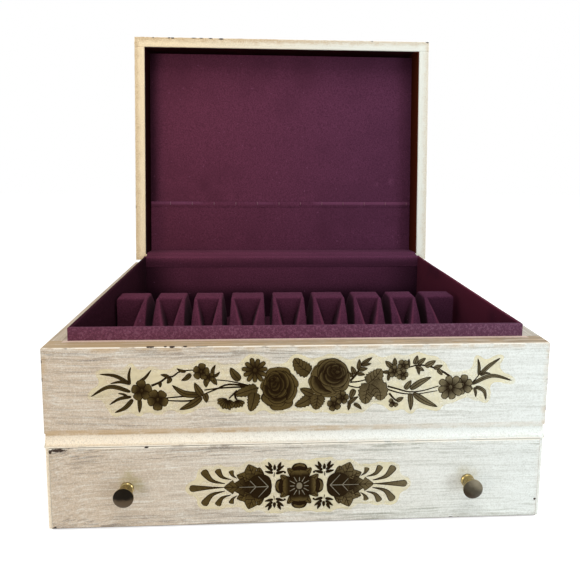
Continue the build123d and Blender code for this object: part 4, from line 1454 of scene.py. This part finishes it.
class ChestGarland(bpy.types.Operator):
    """Print the garland of roses across the front of the case"""

    bl_idname = "chest.garland"
    bl_label = "Print the garland"

    def execute(self, context):
        settings = context.scene.chest_ornament
        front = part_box("case_front")[0].y
        made = Transfer("rose_garland", front, (0.0, 0.0))
        self.stems(made)
        self.left_spray(made)
        self.left_twigs(made)
        self.right_spray(made)
        self.right_twigs(made)
        self.middle_leaves(made)
        made.rose(22.8, 124.8, 34.0, 33.5, (29.5, 133.0), seed=3)
        made.rose(-18.0, 116.5, 29.5, 37.0, (-23.5, 123.8), seed=8)
        self.small_flowers(made)
        made.finish("case", ink("garland_ink", settings), film("garland_film", settings), settings.margin)
        return {"FINISHED"}

    def stems(self, made):
        made.stem((-79, 112.3), (-91, 111.8), (-107, 110.5))
        made.stem((-79, 110.2), (-90, 107.8), (-107, 108.4))
        made.stem((-34, 117.3), (-47, 118.6), (-62, 118.2), (-77, 116.6))
        made.stem((-40, 119.0), (-57.5, 121.0), (-68, 117.0), (-78, 112.8))
        made.stem((-34, 117.5), (-46, 121.0), (-58, 123.8), (-73, 125.5), width=1.4)
        made.stem(
            (-118.4, 120.9), (-111.6, 123.7), (-106, 127.7), (-101.5, 128.3), (-95.9, 132.3), (-85.8, 133.3),
        )
        made.stem((39.4, 121.3), (46, 121.8), (53, 123.5), width=1.5)
        made.stem((38, 118.5), (46, 116.8), (55, 118.8), width=1.3)
        made.stem((70, 117.5), (79, 114.8), (88, 112.4), (99, 113.2), (112, 117.0), width=1.5)
        made.stem((71, 114.5), (82, 111.2), (95, 110.6), (111, 113.0), width=1.3)
        made.stem((121, 125.0), (113.7, 129.8), (104.2, 133.6), (94.8, 134.9), (86.5, 133.0))
        made.stem((132, 117.5), (139, 119.0), (145, 126.0), width=1.4)

    def left_spray(self, made):
        made.leaves((
            (-135.5, 123.0, -158.5, 130.9, 4.0, -0.10), (-134.5, 122.5, -150.4, 123.0, 3.4, -0.10),
            (-135.0, 122.0, -134.1, 136.6, 3.2, 0.08), (-130.5, 122.5, -118.1, 134.2, 3.4, -0.08),
            (-134.5, 116.0, -165.7, 112.5, 4.6, -0.20), (-136.5, 111.1, -144.6, 115.0, 2.8, -0.12),
            (-134.0, 112.0, -151.5, 105.5, 3.6, -0.10), (-133.0, 110.0, -147.5, 99.0, 4.8, 0.10),
            (-128.0, 110.0, -128.3, 98.6, 4.6, 0.03),
        ), profile=spray_width)
        made.flower(-126.0, 116.9, 9.0, 5, turn=22)
        made.flower(-113.6, 109.2, 9.2, 5, turn=52)

    def left_twigs(self, made):
        made.leaves((
            (-104.0, 126.8, -111.3, 129.8, 3.2, -0.1), (-103.5, 127.5, -106.3, 122.6, 4.0, 0.1),
            (-111.5, 123.9, -111.6, 119.2, 2.9, 0.0), (-91.2, 132.2, -98.5, 134.8, 2.8, 0.1),
            (-87.5, 130.4, -95.0, 124.8, 4.2, 0.1), (-70.5, 127.5, -68.0, 137.4, 3.4, 0.1),
            (-70.5, 127.5, -64.6, 131.6, 2.8, -0.1), (-71.5, 127.5, -67.0, 120.6, 4.6, 0.0),
            (-75.5, 126.0, -75.6, 118.8, 4.6, 0.0),
        ))
        made.flower(-79.3, 131.8, 7.2, 5, turn=10, notch=-0.05)
        made.flower(-73.4, 127.4, 4.6, 5, turn=40, notch=-0.05)
        made.leaves((
            (-80.4, 112.8, -102.4, 121.2, 5.6, 0.14), (-78.3, 111.8, -84.6, 123.0, 5.6, 0.05),
            (-79.0, 111.0, -96.8, 100.6, 6.0, 0.06), (-77.0, 114.0, -75.3, 106.0, 5.0, 0.05),
        ))

    def right_spray(self, made):
        made.leaves((
            (144.8, 125.5, 143.4, 139.8, 3.6, -0.04), (145.5, 126.0, 162.0, 139.9, 4.6, 0.04),
            (146.0, 125.4, 154.5, 127.0, 3.0, 0.12), (139.0, 118.0, 172.8, 120.6, 4.6, 0.17),
            (142.5, 116.0, 151.8, 104.4, 4.4, 0.22), (141.5, 115.5, 143.2, 107.0, 3.4, 0.05),
        ), profile=spray_width)
        made.leaf((132.0, 116.0), (140.5, 114.0), 7.0, 0.0)
        made.flower(131.8, 117.6, 9.0, 6, turn=20)
        made.flower(121.8, 115.6, 11.2, 8, turn=12)

    def right_twigs(self, made):
        made.leaves((
            (84.3, 114.6, 89.3, 122.2, 4.8, 0.0), (88.5, 114.6, 105.8, 124.8, 5.4, 0.04),
            (88.4, 111.4, 89.6, 96.4, 4.6, 0.03), (91.0, 111.3, 111.8, 99.2, 5.6, -0.04),
            (73.0, 133.4, 67.6, 138.8, 4.4, 0.0), (75.3, 134.6, 75.2, 141.4, 4.0, 0.0),
            (71.5, 129.2, 64.6, 129.6, 3.2, 0.0), (71.0, 128.0, 70.2, 121.8, 3.2, 0.0),
            (86.3, 133.0, 86.8, 140.4, 2.8, 0.0), (91.5, 135.4, 93.6, 143.0, 4.2, 0.0),
            (94.0, 135.6, 100.4, 140.8, 4.2, 0.0), (92.5, 134.0, 99.6, 130.0, 4.0, 0.0),
            (94.3, 132.8, 95.6, 126.6, 2.8, 0.0), (100.2, 133.6, 108.8, 138.4, 5.0, 0.0),
            (107.2, 132.0, 114.6, 134.4, 3.8, 0.0), (110.6, 131.4, 114.6, 126.2, 3.8, 0.0),
            (77.5, 104.8, 83.4, 107.8, 4.0, 0.0),
        ))
        made.stem((71.5, 111.5), (74.5, 108.0), (77.5, 105.0))
        made.flower(75.5, 103.8, 4.8, 3, turn=150, fan=160.0)

    def middle_leaves(self, made):
        made.stem((39.5, 122.5), (45.0, 129.0), (48.6, 136.5), (52.0, 139.5))
        made.leaves((
            (-48.8, 124.2, -56.4, 135.0, 6.8, 0.05), (-35.0, 118.0, -53.2, 112.0, 8.4, 0.0),
            (-37.0, 114.0, -40.6, 98.2, 9.0, 0.03), (7.0, 129.5, -5.8, 142.0, 11.0, 0.08),
            (9.5, 110.4, -5.0, 102.2, 8.4, 0.06), (13.8, 112.0, 11.9, 98.6, 11.0, 0.0),
            (10.0, 111.6, -1.0, 116.6, 7.0, 0.0), (42.9, 115.6, 39.6, 107.2, 5.0, 0.0),
            (53.6, 119.6, 64.6, 132.2, 12.0, -0.06), (55.4, 119.8, 52.2, 102.6, 12.4, -0.06),
            (56.6, 119.6, 64.4, 105.4, 14.0, 0.20), (38.0, 102.6, 46.4, 109.2, 3.8, 0.06),
            (39.2, 103.8, 38.6, 97.6, 3.0, 0.0), (42.8, 103.4, 49.4, 98.2, 3.4, 0.06),
            (43.4, 128.0, 40.2, 134.8, 4.2, 0.0), (46.2, 131.6, 46.6, 140.6, 3.8, 0.0),
            (48.4, 136.2, 57.0, 142.0, 3.4, 0.0), (48.2, 135.4, 56.4, 136.8, 3.0, 0.0),
            (46.4, 131.8, 53.4, 132.8, 3.8, 0.0), (44.6, 128.8, 51.4, 127.6, 3.6, 0.0),
            (41.6, 126.0, 37.6, 129.8, 3.2, 0.0),
        ), toothed=True)

    def small_flowers(self, made):
        made.flower(-36.9, 132.4, 10.8, 11, turn=8, width=3.9, notch=0.0)
        made.stem((-51.0, 116.0), (-54.0, 113.0), (-57.5, 109.5), width=1.6)
        made.flower(-58.2, 109.0, 9.4, 8, turn=185, fan=130.0, width=3.0, heart=0.0, notch=0.0)
        made.stem((-52.7, 113.0), (-52.3, 110.0), (-50.8, 107.8))
        made.flower(-51.0, 108.4, 7.4, 5, turn=235, fan=95.0, width=2.7, heart=0.0, notch=0.0)
        made.flower(27.0, 103.4, 6.4, 5, turn=30)
        made.flower(33.4, 108.4, 5.8, 5, turn=12)
        made.flower(75.1, 130.0, 5.4, 5, turn=18)
        made.flower(82.3, 135.0, 5.2, 5, turn=50)
        made.flower(81.8, 127.2, 5.2, 5, turn=0)


class ChestRosette(bpy.types.Operator):
    """Print the mirrored ornament on the drawer front"""

    bl_idname = "chest.rosette"
    bl_label = "Print the rosette"
    centre = (-0.5, 33.4)

    def execute(self, context):
        settings = context.scene.chest_ornament
        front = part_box("drawer_front")[0].y
        made = Transfer("drawer_rosette", front, self.centre)
        for side in (-1, 1):
            self.fan(made, side)
            self.lobed_leaf(made, side)
            for up in (-1, 1):
                self.twig(made, side, up)
                made.disc(side * 11.9, up * 11.8, 0.9, shade=(0.8, 0.8))
        for number in range(4):
            self.lobe(made, 90.0 * number)
        made.disc(0.0, 0.0, 7.4, shade=(1.15, 1.15))
        made.disc(0.0, 0.0, 2.9, shade=(-0.7, -0.7))
        made.finish("drawer", ink("rosette_ink", settings), film("rosette_film", settings), settings.margin)
        self.rays(settings, front)
        return {"FINISHED"}

    def fan(self, made, side):
        made.drop((side * 61.5, 0.0), (side * 89.6, -0.3), 6.0)
        for up in (-1, 1):
            made.drop((side * 60.5, up * 3.2), (side * 78.4, up * 15.4), 6.4, bend=-0.16 * side * up)
            made.drop((side * 55.5, up * 6.6), (side * 67.0, up * 16.0), 5.4, bend=-0.18 * side * up)
            made.drop((side * 50.6, up * 7.4), (side * 55.8, up * 14.6), 4.4, bend=-0.15 * side * up)

    def lobed_leaf(self, made, side):
        for up in (-1, 1):
            for x, z, tip_x, tip_z, width, bend, shade, teeth, bite in (
                (31.0, 5.0, 33.2, 16.8, 6.4, 0.0, (1.6, -0.2), 0, 0.3),
                (33.0, 2.0, 41.6, 19.6, 12.0, -0.05, (1.2, -0.5), 3, 0.6),
                (35.0, 2.4, 51.2, 10.4, 9.6, 0.05, (1.2, -0.5), 3, 0.6),
            ):
                base, tip = (side * x, up * z), (side * tip_x, up * tip_z)
                made.leaf(base, tip, width, bend * side * up, shade, teeth, broad_width, bite)
        made.leaf((side * 38.0, 0.0), (side * 61.6, 0.0), 11.2, 0.0, (1.4, -0.5), 3, broad_width, 0.7)
        bulb = (side * 41.4, 0.0), (side * 22.4, 0.0)
        made.blade(bulb, 21.6, round_width, shade=(0.7, 1.7), rim=False, rows=18)

    def twig(self, made, side, up):
        made.stem((side * 20.8, up * 8.4), (side * 20.4, up * 12.2), width=0.8)
        for x, z, tip_x, tip_z in (
            (21.4, 11.6, 28.4, 13.0), (21.8, 13.6, 28.2, 18.4), (22.8, 16.0, 25.6, 21.2),
            (19.4, 11.0, 12.0, 13.0), (18.8, 13.2, 12.4, 18.0), (17.6, 15.6, 15.0, 21.0),
            (20.2, 14.0, 20.4, 19.0),
        ):
            made.leaf((side * x, up * z), (side * tip_x, up * tip_z), 2.6, shade=(0.9, 0.5))

    def lobe(self, made, turn):
        """One petal of the middle flower: a shaded round cap behind a collar with two pointed ears."""
        way = Vector((math.cos(math.radians(turn)), math.sin(math.radians(turn))))
        across = Vector((-way.y, way.x))

        def at(out, aside):
            return tuple(way * out + across * aside)

        made.blade((at(6.6, 0.0), at(20.0, 0.0)), 13.6, round_width, shade=(0.1, 1.6))
        crescent = at(16.6, -4.6), at(18.4, 0.0), at(16.6, 4.6)
        made.blade(crescent, 2.4, leaf_width, shade=(-0.4, -0.3), rim=False)
        made.blade((at(13.6, -6.4), at(15.9, 0.0), at(13.6, 6.4)), 2.6, leaf_width, shade=(1.5, 1.5))
        for side in (-1, 1):
            base, tip = at(6.0, side * 3.4), at(15.6, side * 9.8)
            made.leaf(base, tip, 6.2, -0.06 * side, (1.2, -0.3), profile=broad_width)
        made.blade((at(3.0, 0.0), at(13.8, 0.0)), 15.6, petal_width, shade=(2.4, -0.4), notch=0.12)

    def rays(self, settings, front):
        """Fine pale lines: rays round the heart and veins of the lobed leaves."""
        lines = Transfer("drawer_rosette", front - 0.35 * MM, self.centre)
        for number in range(12):
            angle = math.radians(30.0 * number)
            reach = 9.0 if number % 3 else 7.6
            ends = spoke(0.0, 0.0, 4.2, angle), spoke(0.0, 0.0, reach, angle)
            lines.blade(ends, 0.75, stem_width, rows=3)
        for side in (-1, 1):
            for points in (
                ((25.2, 0.0), (49.0, 0.0)), ((25.4, 0.0), (33.4, 9.0)), ((25.4, 0.0), (33.4, -9.0)),
                ((35.4, 0.0), (40.2, 5.4)), ((35.4, 0.0), (40.2, -5.4)),
            ):
                lines.blade([(side * x, z) for x, z in points], 0.7, stem_width, rows=3)
        shader = Shader("rosette_line")
        wear = shader.noise(shader.place, 300.0, 2.0)
        pale = shader.surface(shader.mix(wear, settings.pale, tinted(settings.pale, 0.55)), 0.5, 0.1)
        obj = join(lines.blades, "drawer_rosette_lines")
        face_front(obj)
        finish_piece(obj, "drawer", pale)


# ---------------------------------------------------------------- stage
class ChestStage(bpy.types.Operator):
    """Set the floor, light and camera"""

    bl_idname = "chest.stage"
    bl_label = "Set the stage"

    def execute(self, context):
        settings = context.scene.chest_stage
        scene = context.scene
        scene.view_settings.view_transform = "Standard"

        start()
        below = 0.0005
        bpy.ops.mesh.primitive_plane_add(size=6.0, location=(0, 0, -below))
        floor = take("stage_floor")
        shader = Shader("stage_white")
        paper = shader.node("ShaderNodeBsdfDiffuse", inputs={"Color": (0.80, 0.80, 0.80)})
        glow = shader.node("ShaderNodeEmission", inputs={"Color": (1.0, 1.0, 1.0), "Strength": 0.62})
        lit = shader.node("ShaderNodeAddShader", inputs={0: paper.outputs[0], 1: glow.outputs[0]})
        shader.choose(paper, lit, "ShaderNodeOutputMaterial")
        dress(floor, shader.material)

        scene.world = bpy.data.worlds.new("stage_world")
        sky = Shader("stage_world", scene.world)
        even, white = (
            sky.node("ShaderNodeBackground", inputs={"Color": tint, "Strength": strength})
            for tint, strength in (((0.97, 0.99, 1.0), settings.world), ((1.0, 1.0, 1.0), 1.0))
        )
        sky.choose(even, white, "ShaderNodeOutputWorld")

        for name, place, target, size, power, tint in (
            ("key_lamp", (0.1, -0.55, 1.35), (0.0, 0.0, 0.1), 0.9, settings.key, (1.0, 0.98, 0.95)),
            ("warm_lamp", (-0.85, -0.95, 0.20), (-0.1, -0.1, 0.1), 0.45, settings.warm, (1.0, 0.84, 0.66)),
            ("cool_lamp", (0.90, -1.00, 0.22), (0.15, -0.1, 0.1), 0.45, settings.cool, (0.90, 0.96, 1.0)),
        ):
            self.lamp(name, place, target, size, power, tint)

        bpy.ops.object.camera_add()
        camera = context.active_object
        camera.name = "photo_camera"
        level = math.pi / 2
        turn = Matrix.Rotation(settings.turn, 4, "Z") @ Matrix.Rotation(level + settings.tilt, 4, "X")
        camera.matrix_world = Matrix.Translation(settings.eye) @ turn @ Matrix.Rotation(settings.roll, 4, "Z")
        camera.data.sensor_width = 36.0
        camera.data.lens = settings.lens
        camera.data.shift_x = settings.shift_right
        camera.data.shift_y = settings.shift_up
        camera.data.clip_start = 0.01
        scene.camera = camera
        return {"FINISHED"}

    def lamp(self, name, place, target, size, power, tint):
        start()
        bpy.ops.object.light_add(type="AREA", location=place)
        lamp = bpy.context.active_object
        lamp.name = name
        lamp.rotation_euler = (Vector(target) - Vector(place)).to_track_quat("-Z", "Y").to_euler()
        lamp.data.size = size
        lamp.data.energy = power
        lamp.data.color = tint


# ---------------------------------------------------------------- panel and registration
OPERATORS = (
    ChestPaint, ChestMetal, ChestWellLining, ChestRack, ChestLidLining, ChestKnifePockets, ChestHingeCloth,
    ChestDrawerFelt, ChestGarland, ChestRosette, ChestStage,
)
SETTINGS = {
    "chest_paint": PaintSettings,
    "chest_cloth": ClothSettings,
    "chest_metal": MetalSettings,
    "chest_ornament": OrnamentSettings,
    "chest_stage": StageSettings,
}


class ChestPanel(bpy.types.Panel):
    """Sizes, colours and steps of the chest"""

    bl_idname = "VIEW3D_PT_chest"
    bl_label = "Silverware Chest"
    bl_space_type = "VIEW_3D"
    bl_region_type = "UI"
    bl_category = "Chest"

    def draw(self, context):
        for operator in OPERATORS:
            self.layout.operator(operator.bl_idname)
        for group in SETTINGS:
            box = self.layout.box()
            settings = getattr(context.scene, group)
            for key in settings.__annotations__:
                box.prop(settings, key)


def register():
    for made in (*SETTINGS.values(), *OPERATORS, ChestPanel):
        bpy.utils.register_class(made)
    for name, group in SETTINGS.items():
        setattr(bpy.types.Scene, name, PointerProperty(type=group))


def unregister():
    for name in SETTINGS:
        delattr(bpy.types.Scene, name)
    for made in reversed((*SETTINGS.values(), *OPERATORS, ChestPanel)):
        bpy.utils.unregister_class(made)


def main():
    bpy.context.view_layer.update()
    register()
    for operator in OPERATORS:
        area, name = operator.bl_idname.split(".")
        getattr(getattr(bpy.ops, area), name)()


if __name__ == "__main__":
    main()
